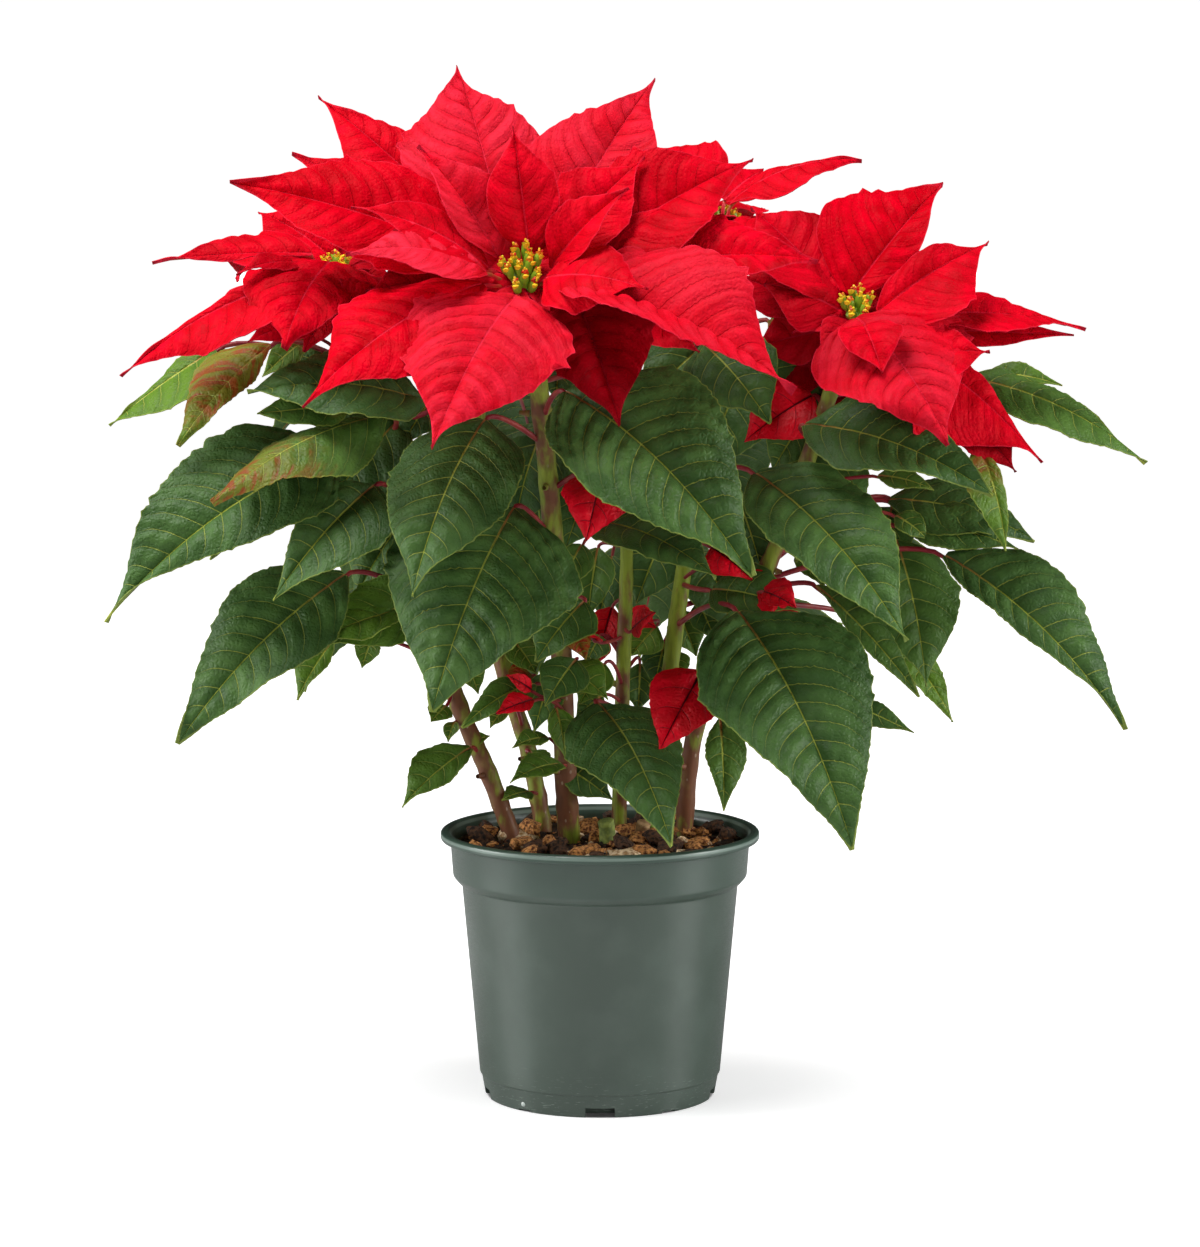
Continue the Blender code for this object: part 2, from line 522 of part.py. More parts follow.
def stem_path(name):
    """The middle line of a stem, straight up through the soil and then in a smooth curve."""
    _, _, points = STEMS[name]
    return [points[0]] + smooth_path(points[1:], 2)


def stem_leaf(path, height, blade, phase):
    """A leaf on its petiole, which leaves the stem at this height."""
    root = point_at_height(path, height)
    _, heading = midrib(blade, 0)
    control = blade.base - heading * (blade.base - root).length * 0.45
    radius = PETIOLE_RADIUS if blade.width > 30 else SMALL_PETIOLE_RADIUS
    return blade_solid(blade, root, control, radius, phase)


def leafy_stem(name):
    """One stem with its petioles and leaves, joined into one body."""
    foot_radius, top_radius, _ = STEMS[name]
    path = stem_path(name)
    radii = [foot_radius + (top_radius - foot_radius) * index / (len(path) - 1) for index in range(len(path))]
    stem = tube(path, radii, STEM_SIDES)
    leaves = []
    for index, (height, blade) in enumerate(STEM_LEAVES[name]):
        leaves.append(stem_leaf(path, height, blade, index * TURN))
    boolean(stem, leaves, "UNION")
    keep_largest_shell(stem)
    finish(stem, name, "leaf")


def bloom_hub(name):
    """The hub's middle line, from the stem's flat top to the seat of the cyathia, and its facing."""
    path = stem_path(BLOOM_STEMS[name])
    along = (path[-1] - path[-2]).normalized()
    facing = Vector(BLOOM_FACING[name]).normalized()
    foot = path[-1] + along * GAP / MM
    middle = foot + along * HUB_HEIGHT * 0.4
    return [foot, middle, middle + facing * HUB_HEIGHT * 0.6], facing


def bract(name, index):
    """One bract: its stalk leaves the hub sideways and then turns up to the blade."""
    blade = BLOOM_BRACTS[name][index]
    line, facing = bloom_hub(name)
    share = index / len(BLOOM_BRACTS[name])
    root = line[1].lerp(line[2], 0.1 + 0.5 * share)
    outward = blade.base - root
    outward = (outward - facing * outward.dot(facing)).normalized()
    control = root + outward * (HUB_RADIUS + 4)
    return blade_solid(blade, root, control, BRACT_STALK_RADIUS, index * TURN)


def bloom(name):
    """One flower head: its bracts on their short stalks, joined at the hub."""
    line, _ = bloom_hub(name)
    _, stem_radius, _ = STEMS[BLOOM_STEMS[name]]
    hub = tube(line, [stem_radius, HUB_RADIUS, HUB_RADIUS], STEM_SIDES)
    boolean(hub, [bract(name, index) for index in range(len(BLOOM_BRACTS[name]))], "UNION")
    keep_largest_shell(hub)
    finish(hub, name, "bract")


def cyathia(name):
    """The cluster of little urns on a flower head's hub, each leaning a little outward."""
    count, height, reach = CYATHIA[name]
    line, facing = bloom_hub(name)
    seat = line[-1] + facing * GAP / MM
    button = tube([seat, seat + facing * BUTTON_HEIGHT], [HUB_RADIUS, HUB_RADIUS], STEM_SIDES)
    across = facing.orthogonal().normalized()
    other = facing.cross(across)
    urns = []
    for index in range(count):
        lean = across * math.cos(index * TURN) + other * math.sin(index * TURN)
        spread = math.sqrt((index + 0.4) / count)
        foot = seat + facing * BUTTON_HEIGHT * 0.4 + lean * spread * HUB_RADIUS * 0.7
        head = seat + facing * height * (1 - 0.25 * spread) + lean * spread * reach
        urns.append(tube([foot, head], [1.5, 2.3], URN_SIDES))
    boolean(button, urns, "UNION")
    keep_largest_shell(button)
    finish(button, name.replace("bloom", "cyathia"), "cyathium")


def turned(name, profile, sides):
    """A round body from a profile of (radius, height) points that starts and ends on the axis."""
    work = bmesh.new()
    line = [work.verts.new((radius * MM, 0, height * MM)) for radius, height in profile]
    edges = [work.edges.new(pair) for pair in zip(line, line[1:])]
    bmesh.ops.spin(work, geom=line + edges, cent=(0, 0, 0), axis=(0, 0, 1), angle=2 * math.pi,
                   steps=sides, use_merge=True)
    bmesh.ops.remove_doubles(work, verts=work.verts, dist=0.00001)
    bmesh.ops.recalc_face_normals(work, faces=work.faces)
    mesh = bpy.data.meshes.new(name)
    work.to_mesh(mesh)
    work.free()
    made = bpy.data.objects.new(name, mesh)
    bpy.context.scene.collection.objects.link(made)
    return made


def block(size, place, turn):
    """A box with its size and place in millimetres, turned about the upright axis."""
    bpy.ops.mesh.primitive_cube_add(size=1)
    made = bpy.context.object
    made.scale = [length * MM for length in size]
    made.location = [part * MM for part in place]
    made.rotation_euler = turn
    bpy.context.view_layer.update()
    return made


def inner_radius(height):
    """The radius of the pot's inside at a height between its floor and its rim."""
    if height >= BAND_BOTTOM:
        share = (height - BAND_BOTTOM) / (RIM_HEIGHT - LIP_DEPTH - BAND_BOTTOM)
        return BAND_BOTTOM_RADIUS - POT_WALL + (BAND_TOP_RADIUS - BAND_BOTTOM_RADIUS) * share
    share = (height - STEP_HEIGHT) / (WALL_TOP - STEP_HEIGHT)
    return STEP_RADIUS - POT_WALL + (WALL_TOP_RADIUS - STEP_RADIUS) * share


def pot():
    """The pot: a turned shell with a rolled lip, a rim band and notches round its foot."""
    lip = RIM_HEIGHT - LIP_DEPTH
    profile = [
        (0, 0), (FOOT_RADIUS, 0), (STEP_RADIUS, STEP_HEIGHT),
        (WALL_TOP_RADIUS, WALL_TOP), (WALL_TOP_RADIUS + 1.9, WALL_TOP + 1.1), (BAND_BOTTOM_RADIUS, BAND_BOTTOM),
        (BAND_TOP_RADIUS, lip), (RIM_RADIUS, lip), (RIM_RADIUS, RIM_HEIGHT - 1.2),
        (RIM_RADIUS - 1.4, RIM_HEIGHT), (BAND_TOP_RADIUS + 0.9, RIM_HEIGHT), (BAND_TOP_RADIUS - POT_WALL, lip),
        (BAND_BOTTOM_RADIUS - POT_WALL, BAND_BOTTOM), (inner_radius(WALL_TOP), WALL_TOP),
        (inner_radius(POT_FLOOR), POT_FLOOR), (0, POT_FLOOR),
    ]
    body = turned("pot", profile, POT_SIDES)
    notches = []
    for degrees, width in NOTCHES:
        turn = math.radians(degrees)
        reach = FOOT_RADIUS
        place = (math.sin(turn) * reach, -math.cos(turn) * reach, 0)
        notches.append(block((width, NOTCH_REACH * 2, NOTCH_HEIGHT * 2), place, (0, 0, turn)))
    boolean(body, notches, "DIFFERENCE")
    finish(body, "pot", "pot")


def soil():
    """The soil that fills the pot: uneven, strewn with bark chips, and holed for each stem."""
    play = GAP / MM / math.cos(math.pi / POT_SIDES)
    edge = inner_radius(SOIL_HEIGHT) - play
    profile = [(0, POT_FLOOR + play), (inner_radius(POT_FLOOR) - 2 * play, POT_FLOOR + play),
               (inner_radius(WALL_TOP) - play, WALL_TOP + play), (inner_radius(BAND_BOTTOM) - play, BAND_BOTTOM + play),
               (edge, SOIL_HEIGHT)]
    profile += [(edge * ring, SOIL_HEIGHT) for ring in SOIL_RINGS]
    profile += [(0, SOIL_HEIGHT)]
    body = turned("soil", profile, POT_SIDES)
    for vertex in body.data.vertices:
        x, y, z = vertex.co / MM
        if z > SOIL_HEIGHT - 0.1 and math.hypot(x, y) < edge * 0.99:
            relief = math.sin(x * 0.19 + 1) * math.cos(y * 0.23) + 0.6 * math.sin(x * 0.41 - y * 0.37)
            vertex.co.z += SOIL_RELIEF * relief * MM
    chips = []
    for index in range(CHIP_COUNT):
        turn = index * 2.4
        away = edge * 0.86 * math.sqrt((index + 0.6) / CHIP_COUNT)
        long = CHIP_LENGTH * (0.6 + 0.4 * math.sin(index * 1.7) ** 2)
        place = (away * math.cos(turn), away * math.sin(turn), SOIL_HEIGHT + 1.0)
        tilt = (0.25 * math.sin(index * 2.1), 0.25 * math.cos(index * 1.3), index * 1.9)
        chips.append(block((long, long * 0.6, 4.5), place, tilt))
    boolean(body, chips, "UNION")
    holes = []
    for radius, foot in hole_places():
        above = Vector((foot.x, foot.y, RIM_HEIGHT + 10))
        bottom = Vector((foot.x, foot.y, HOLE_BOTTOM))
        wide = radius + HOLE_PLAY
        holes.append(tube([bottom, above], [wide, wide], HOLE_SIDES))
    boolean(body, holes, "DIFFERENCE")
    finish(body, "soil", "soil")


def hole_places():
    """The radius and foot of each stem and stump."""
    places = [(radius, points[0]) for radius, _, points in STEMS.values()]
    places += [(radius, foot) for radius, foot, _ in STUMPS.values()]
    return places


def stump(name):
    """The stub of a stem that was cut off just above the soil."""
    radius, foot, top = STUMPS[name]
    straight = Vector((foot.x, foot.y, SOIL_HEIGHT + 2))
    finish(tube([foot, straight, top], [radius, radius, radius * 0.95], STEM_SIDES), name, name)


def main():
    """Build the whole plant."""
    clear_scene()
    pot()
    soil()
    for name in STUMPS:
        stump(name)
    for name in STEMS:
        leafy_stem(name)
    for name in BLOOM_BRACTS:
        bloom(name)
        cyathia(name)


main()
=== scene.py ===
"""Poinsettia in its nursery pot, dressed piece by piece over its solid model.

Metres, +Z up. The origin is the middle of the pot's flat underside. -Y is the plant's front.
The plant's own sizes, in its tables and constants, are millimetres where MM doesn't turn them to metres.
"""

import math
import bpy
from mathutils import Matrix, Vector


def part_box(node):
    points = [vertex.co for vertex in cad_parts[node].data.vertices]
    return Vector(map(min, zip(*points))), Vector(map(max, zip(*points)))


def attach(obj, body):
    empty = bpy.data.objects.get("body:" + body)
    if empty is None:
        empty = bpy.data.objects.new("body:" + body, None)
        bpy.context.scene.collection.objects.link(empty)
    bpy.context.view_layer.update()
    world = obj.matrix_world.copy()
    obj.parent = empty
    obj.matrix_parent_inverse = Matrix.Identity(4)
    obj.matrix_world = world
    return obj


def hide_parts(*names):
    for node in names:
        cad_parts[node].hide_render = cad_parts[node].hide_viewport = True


bl_info = {
    "name": "Potted Poinsettia",
    "version": (1, 0, 0),
    "blender": (4, 5, 0),
    "location": "View3D > Sidebar > Poinsettia",
    "description": "Builds a red poinsettia with veined leaves and bracts in a nursery pot",
    "category": "Object",
}

from collections import namedtuple

import bmesh
import bpy
import numpy as np
from bpy.props import FloatProperty, FloatVectorProperty, IntProperty, PointerProperty
from bpy.types import Operator, Panel, PropertyGroup
from mathutils import Matrix, Vector

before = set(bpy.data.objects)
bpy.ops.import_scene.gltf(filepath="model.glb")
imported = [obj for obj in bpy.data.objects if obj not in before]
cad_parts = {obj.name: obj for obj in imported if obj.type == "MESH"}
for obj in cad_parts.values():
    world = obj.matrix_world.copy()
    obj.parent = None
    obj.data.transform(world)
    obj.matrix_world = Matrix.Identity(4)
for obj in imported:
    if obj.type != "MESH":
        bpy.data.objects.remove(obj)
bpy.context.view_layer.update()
MM = 0.001
# Points closer than this are one
WELD_DISTANCE = 0.002 * MM


# The pot, in metres
RIM_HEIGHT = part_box("pot")[1][2]
RIM_RADIUS = 82.7 * MM
LIP_DEPTH = 4.5 * MM
BAND_TOP_RADIUS = 77.7 * MM
BAND_BOTTOM_RADIUS = 76.3 * MM
BAND_BOTTOM = 115.7 * MM
WALL_TOP_RADIUS = 71.7 * MM
WALL_TOP = 111.4 * MM
STEP_RADIUS = 62.0 * MM
STEP_HEIGHT = 12.0 * MM
FOOT_RADIUS = 59.8 * MM
POT_WALL = 1.6 * MM
POT_FLOOR = 2.6 * MM
# How far each corner of the profile is rounded off, and at most how much of a side
POT_ROUNDING = 0.9 * MM
LONGEST_ROUNDING = 0.45
# Drainage notches of one size: the width, the height, and each one's direction in degrees from the front
NOTCHES = [
    (15 * MM, 5.2 * MM, (0, 78, 180, 282)),
    (8 * MM, 1.2 * MM, (36, 144, 216, 320)),
]
NOTCH_DEPTH = 10 * MM
SOIL_HEIGHT = 131.5 * MM
SOIL_BOTTOM = 8 * MM
SOIL_SIDES = 120
SOIL_RINGS = 44
# How high the soil's hills and lumps are, in millimetres
SOIL_HILLS = 1.2
SOIL_LUMPS = 0.9
# The pale mark of the mould's gate on the foot, and its radius at distances outward, in millimetres
GATE_MARK = (-39.0, -45.6, 4.0)
GATE_FORM = [(-0.8, 1.6), (0, 1.6), (0.7, 1.2), (1.0, 0.5)]

# The front view that the plant is laid out on: a grid of 1200 by 1247 squares, seen from this
# far in front of the pot's axis and this high above its underside, looking a little down
VIEW_DISTANCE = 2150.0
VIEW_HEIGHT = 504.0
VIEW_PITCH = math.radians(6.83)
VIEW_MIDDLE = (600.0, 623.5)
VIEW_SQUARES = 4194.0
VIEW_TALL = 1247.0
SENSOR = 36.0
# The width of one square at the pot, in millimetres
SQUARE_WIDTH = 0.51

# Crumbs and chips on the soil: the least and the greatest size, and the seed of their places
CRUMB_SIZES = (1.2, 4.0)
CRUMB_SEED = 3
CHIP_SIZES = (4.0, 16.0)
CHIP_SEED = 5
# A chip's width and height as shares of its length, at least and at most, and a set lump's width
CHIP_WIDTHS = (0.5, 0.85)
CHIP_HEIGHTS = (0.35, 0.65)
LUMP_WIDTH = 0.6
# The cube that is rounded to a chip of about one length
CHIP_CUBE = 1.3
# How far its corners are off at random, as a share of its length, and how far it leans, in radians
CHIP_ROUGHNESS = 0.075
CHIP_LEAN = 0.35
CHIP_ROLL = 0.25
# How far the middle of a chip stands above the soil, as a share of the chip's length
CHIP_LIFT = 0.2
HIGHEST_CHIP = RIM_HEIGHT + 1 * MM
# Larger lumps of bark at set places: left, right and height of the middle on the front view, then
# which way each lies and how thick it is for its length
LUMPS = [
    (498, 532, 842, 0.2, 0.55), (584, 608, 842, 1.2, 0.7), (612, 640, 836, 0.4, 0.6),
    (672, 704, 838, -0.2, 0.35), (700, 732, 832, 0.5, 0.35), (540, 566, 846, -0.3, 0.5),
    (470, 496, 838, 0.9, 0.5), (560, 584, 828, 0.1, 0.5), (642, 668, 846, -0.5, 0.5),
    (520, 548, 826, 0.7, 0.5),
]

# How many rows of faces a blade has at least and at most along its midrib, and how many columns
# across each half
ROW_LIMITS = (14, 84)
COLUMN_LIMITS = (3, 12)
# Fewest side veins on each half
FEWEST_VEINS = 4
# A lobe rises over the first share of its length and falls over the second
LOBE_RISE = 0.7
LOBE_FALL = 0.3
# The height of a blade's slow wave, as a share of its width
WAVE_HEIGHT = 0.045
# Depth and half-width of the groove over the midrib
MIDRIB_GROOVE = 0.35
GROOVE_WIDTH = 1.4
PETIOLE_RADIUS = 1.3
SMALL_PETIOLE_RADIUS = 0.9
# A leaf at least this wide has the thicker petiole
WIDE_LEAF = 30
BRACT_STALK_RADIUS = 1.0
STALK_STEPS = 9
# How far the petiole runs on along the midrib, as a share of it
RIB_END = 0.9
HUB_RADIUS = 5.5
HUB_HEIGHT = 9.0
CENTRE_BRACT_LENGTH = 26.0
CENTRE_BRACT_WIDTH = 19.0
# How dark a centre bract is, by its place and in itself, as painted shade for the middle of the flower head,
# and its bloom, a painted pink sheen
CENTRE_BRACT_TINT = (0.9, 0.1, 0.2)
BUTTON_HEIGHT = 2.5
# One urn's length, and how far its middle stands off the hub's seat
URN_LENGTH = 8.5
URN_LIFT = 5.5
# The height of the cluster that these urns belong to; others are scaled from it
CLUSTER_HEIGHT = 13.0
# An urn's radius at shares of its length, its mouth's radius at distances beyond its top, and its
# gland's radius at distances outward and upward from the place where it grows
URN_FORM = [
    (0, 0.7), (0.10, 1.2), (0.28, 1.9), (0.50, 2.2), (0.72, 2.1), (0.88, 1.8), (0.96, 1.5), (1, 1.3),
]
MOUTH_FORM = [(-0.7, 1.45), (-0.2, 1.65), (0.5, 1.6), (0.8, 1.25), (0.4, 0.8), (-0.4, 0.6)]
GLAND_FORM = [(0, 0, 0.7), (0.6, 0.1, 1.0), (1.0, 0.6, 1.4), (1.2, 1.3, 1.5), (0.7, 1.1, 0.8)]
GAP = 0.3
# The turn from one bract or urn to the next: the golden angle, in radians
TURN = 2.4
# Bark: where the swelling of a leaf scar starts, as a share of the way from the middle between two
# scars, how long it is, how uneven the stem is, and the height above which stubs of shed leaves stand
SCAR_START = 0.72
SCAR_SPAN = 0.28
BARK_UNEVEN = 0.15
LOWEST_STUB = 140

# How young and how flushed with red a leaf is, and how dark a bract is with painted shade and how much
# painted pink sheen, its bloom, it has, where its row doesn't say
LEAF_TONE = (0.06, 0.0)
BRACT_TONE = (0.0, 0.08)

# Half-width of each form of blade along its midrib, as a share of its greatest half-width
OUTLINES = {
    "leaf": [(0, 0.10), (0.12, 0.66), (0.33, 1.0), (0.54, 0.86), (0.74, 0.52), (0.89, 0.18), (1, 0)],
    "bract": [(0, 0.14), (0.15, 0.66), (0.40, 1.0), (0.60, 0.87), (0.78, 0.40), (0.91, 0.09), (1, 0)],
    "broad": [(0, 0.16), (0.10, 0.72), (0.30, 1.0), (0.52, 0.90), (0.74, 0.48), (0.89, 0.12), (1, 0)],
    "small": [(0, 0.14), (0.18, 0.76), (0.42, 1.0), (0.68, 0.64), (0.87, 0.22), (1, 0)],
}
THINNEST_SHARE = 0.007

# A leaf or bract: where its midrib starts and ends, its width, the way that it faces, how far it arches
# as a share of its length, how many degrees its halves are folded up, its outline, its tone, and how
# wide its left and right half are, seen from its base, as shares of what the outline gives; where four
# are given, the last two are the same at the tip
Blade = namedtuple("Blade", "base tip width face arch fold form tone halves", defaults=(None, (1.0, 1.0)))


def seen(across, down, depth):
    """The point that the front view shows at this square, at this depth behind the pot's axis."""
    side = (across - VIEW_MIDDLE[0]) / VIEW_SQUARES
    rise = (VIEW_MIDDLE[1] - down) / VIEW_SQUARES
    forward = math.cos(VIEW_PITCH) + rise * math.sin(VIEW_PITCH)
    upward = rise * math.cos(VIEW_PITCH) - math.sin(VIEW_PITCH)
    reach = (VIEW_DISTANCE + depth) / forward
    return Vector((side * reach, depth, VIEW_HEIGHT + upward * reach))


def spot(x, y, z):
    """A point that the front view hides, in millimetres."""
    return Vector((x, y, z))


# Stems: radius at the soil, radius at the top, how brown the bark is at the foot and how far up it
# stays so, and the points of the middle line
Stem = namedtuple("Stem", "foot_radius top_radius brown upto line")
STEMS = {
    "stem_front": Stem(6, 4.6, 0.7, 1.3, [
        (-16, 8, 94), (-16, 8, 134), (-18, 4, 170), (-20, 0, 233),
        (-25, -8, 305), (-31, -28, 370), (-38, -52, 419)]),
    "stem_left": Stem(4.8, 3.8, 0.8, 0.9, [
        (-46, 2, 94), (-46, 2, 136), (-58, 4, 168), (-75, 6, 208),
        (-94, 20, 270), (-112, 22, 345), (-133, 2, 419)]),
    "stem_back_left": Stem(4.8, 3.8, 0.66, 0.8, [
        (-30, 32, 94), (-30, 32, 136), (-38, 36, 176), (-52, 44, 223),
        (-64, 62, 310), (-64, 80, 380), (-60, 92, 425)]),
    "stem_middle": Stem(4.4, 3.2, 0.6, 0.95, [
        (10, 34, 94), (10, 34, 136), (12, 34, 210), (14, 32, 280), (12, 26, 330)]),
    "stem_back_right": Stem(4.8, 3.8, 0.36, 0.5, [
        (30, 36, 94), (30, 36, 136), (34, 38, 190), (40, 42, 240),
        (47, 50, 290), (57, 62, 370), (63, 72, 440)]),
    "stem_right": Stem(4.8, 3.8, 0.8, 1.1, [
        (44, 16, 94), (44, 16, 136), (50, 12, 190), (71, 6, 240),
        (94, 2, 294), (114, -4, 354), (129, -14, 399)]),
}

# Stumps: radius, foot and top
STUMPS = {
    "stump_green": (4.2, spot(4, -2, 94), spot(3, -4, 144)),
    "stump_tan": (3.6, spot(22, 4, 94), spot(23, 2, 142)),
}

# Flower heads, each on the stem of the same place: the way that the head faces, how many urns stand on
# its hub, their height, and how far they spread
Bloom = namedtuple("Bloom", "facing urns height reach")
BLOOMS = {
    "bloom_front": Bloom((0, -0.8, 0.6), 11, 13, 9),
    "bloom_left": Bloom((-0.1, -0.5, 0.86), 5, 8.5, 5),
    "bloom_right": Bloom((0, -0.7, 0.71), 7, 11, 7),
    "bloom_back_right": Bloom((0.1, 0.15, 0.98), 5, 10, 6),
    "bloom_back_left": Bloom((-0.05, 0.15, 0.98), 5, 10, 6),
}

# Leaves of each stem. A row is the height at which the petiole leaves the stem, then what a Blade holds.
# The base and the tip are places on the front view with their depth. The tone is how young the leaf is
# and how flushed with red, from its base where that is above nought and from its tip where it is below
LEAVES = {
    "stem_front": [
        (340, (485, 420, -48), (412, 596, -112), 70, (-0.25, -0.85, 0.45), 0.1, -8, "leaf"),
        (290, (514, 508, -30), (432, 712, -92), 98, (-0.1, -0.85, 0.5), 0.12, -6, "leaf"),
        (352, (566, 392, -52), (752, 577, -108), 88, (0.2, -0.8, 0.55), 0.12, 8, "leaf"),
        (222, (576, 660, -20), (545, 706, -40), 27, (0, -0.8, 0.6), 0.1, 0, "small", (0.15, 0)),
        (208, (534, 684, -18), (462, 728, -42), 28, (-0.1, -0.6, 0.8), 0.1, 8, "small", (0.45, 0),
         (1, 0.7)),
        (172, (562, 765, -12), (510, 783, -42), 20, (0, -0.6, 0.8), 0.1, 10, "small", (0.65, 0)),
        (316, (602, 470, -36), (586, 541, -56), 35, (0.1, -0.9, 0.4), 0.08, -10, "small", (0, 1)),
    ],
    "stem_left": [
        (318, (333, 455, -14), (105, 622, -58), 76, (-0.15, -0.8, 0.6), 0.12, 6, "leaf", (0.06, 0),
         (1.35, 1.2, 0, 0.8)),
        (338, (385, 415, -22), (212, 503, -84), 52, (-0.2, -0.55, 0.8), 0.08, -30, "leaf", (0.35, -0.36),
         (1, 1.1, 1, 1.7)),
        (348, (425, 402, -20), (248, 394, -46), 62, (0, -0.55, 0.83), 0.1, 0, "leaf"),
        (300, (374, 486, -24), (273, 600, -76), 58, (0.05, -0.8, 0.6), 0.1, 10, "leaf", (0.06, 0),
         (1, 0.55)),
        (256, (345, 575, -6), (178, 744, -48), 62, (-0.15, -0.8, 0.58), 0.1, 4, "leaf", (0.06, 0),
         (0.9, 1)),
        (230, (400, 612, -14), (318, 643, -34), 40, (0, -0.5, 0.86), 0.08, 0, "small", (0.75, 0),
         (0.75, 0.75)),
        (224, (334, 640, 4), (297, 700, -12), 30, (-0.2, -0.7, 0.7), 0.06, 0, "small", (0.8, 0),
         (0.4, 0.8)),
        (212, (446, 706, -4), (431, 722, -14), 14, (0, -0.8, 0.6), 0.06, 0, "small", (0.8, 0)),
        (174, (471, 748, -2), (402, 807, -26), 32, (-0.1, -0.7, 0.7), 0.08, 0, "small", (0.6, 0), (0.6, 1)),
        (374, (270, 345, -14), (178, 446, -44), 44, (-0.2, -0.8, 0.55), 0.08, -14, "leaf", (0.85, 0.6),
         (0.3, 1.05, 0.6, 1)),
        (368, (215, 350, 14), (110, 426, 2), 32, (-0.25, -0.55, 0.8), 0.03, 0, "small", (0.95, 0),
         (1.5, 0.75, 1.5, 0)),
    ],
    "stem_back_left": [
        (200, (520, 705, 10), (490, 714, -14), 15, (0, -0.5, 0.86), 0.06, 10, "small", (0, 1)),
        (152, (530, 792, 14), (502, 800, -8), 14, (0, -0.6, 0.8), 0.06, 0, "small", (0.6, 0)),
    ],
    "stem_middle": [
        (196, (598, 704, -16), (672, 846, -94), 61, (0.15, -0.75, 0.6), 0.12, -6, "leaf", (0.06, 0),
         (0.9, 1)),
        (288, (596, 522, -10), (716, 578, -54), 46, (0.1, -0.6, 0.8), 0.1, 8, "leaf"),
        (236, (596, 640, 8), (574, 628, -14), 16, (-0.3, -0.8, 0.5), 0.06, 0, "small", (0, 1)),
        (240, (632, 630, 12), (655, 612, -6), 16, (0.2, -0.8, 0.5), 0.06, 0, "small", (0, 1)),
    ],
    "stem_back_right": [
        (240, (738, 612, -26), (853, 850, -104), 86, (0.2, -0.85, 0.45), 0.12, 4, "leaf"),
        (306, (756, 474, -34), (907, 641, -92), 64, (0.25, -0.8, 0.55), 0.1, 10, "leaf"),
        (362, (704, 345, 14), (770, 424, -22), 52, (0.1, -0.8, 0.6), 0.08, 0, "small"),
        (386, (770, 320, 56), (834, 350, 40), 32, (0.1, -0.6, 0.8), 0.08, 0, "small", (0.2, 0.2)),
        (264, (706, 566, 22), (763, 572, -4), 17, (0, -0.5, 0.86), 0.06, 0, "small", (0, 1)),
    ],
    "stem_right": [
        (340, (805, 425, -24), (993, 495, -72), 56, (0.1, -0.7, 0.7), 0.1, 6, "leaf"),
        (366, (968, 378, 8), (1146, 463, -14), 40, (0.2, -0.6, 0.78), 0.09, 6, "leaf", (0.35, 0),
         (0.95, 1.35, 0, 1.35)),
        (268, (945, 556, -4), (1124, 730, -42), 62, (0.2, -0.8, 0.56), 0.12, 6, "leaf", (0.06, 0),
         (0.9, 0.6, 0.95, 0.15)),
        (310, (890, 500, 26), (1035, 541, 12), 40, (0.1, -0.6, 0.79), 0.1, 0, "small", (0.06, 0), (1, 1.2)),
        (282, (896, 540, 18), (926, 687, -16), 52, (0.25, -0.85, 0.45), 0.08, 0, "leaf", (0.25, 0)),
        (262, (816, 586, 6), (919, 697, -24), 36, (-0.1, -0.75, 0.65), 0.1, 0, "leaf", (0.3, 0),
         (0.7, 0.1, 0.7, 0.75)),
        (256, (880, 628, 44), (953, 722, 26), 34, (0.2, -0.7, 0.68), 0.1, 0, "small", (0.85, 0),
         (0.65, 0.7)),
        (250, (842, 700, 30), (914, 733, 16), 15, (-0.1, -0.7, 0.7), 0.02, 0, "small"),
        (206, (720, 720, -8), (724, 811, -34), 25, (0.1, -0.9, 0.45), 0.08, 0, "small", (0.35, 0),
         (1, 0.7)),
        (214, (702, 672, -36), (660, 750, -58), 34, (-0.1, -0.9, 0.4), 0.06, 6, "leaf", (0, 1),
         (1.1, 1.15)),
        (258, (764, 592, -14), (796, 608, -30), 15, (0.1, -0.7, 0.7), 0.06, 0, "small", (0, 1)),
        (352, (979, 446, -34), (1006, 551, -50), 24, (0.35, -0.85, 0.35), 0.08, 0, "small", (0.85, 0.3),
         (0.5, 1.3)),
    ],
}

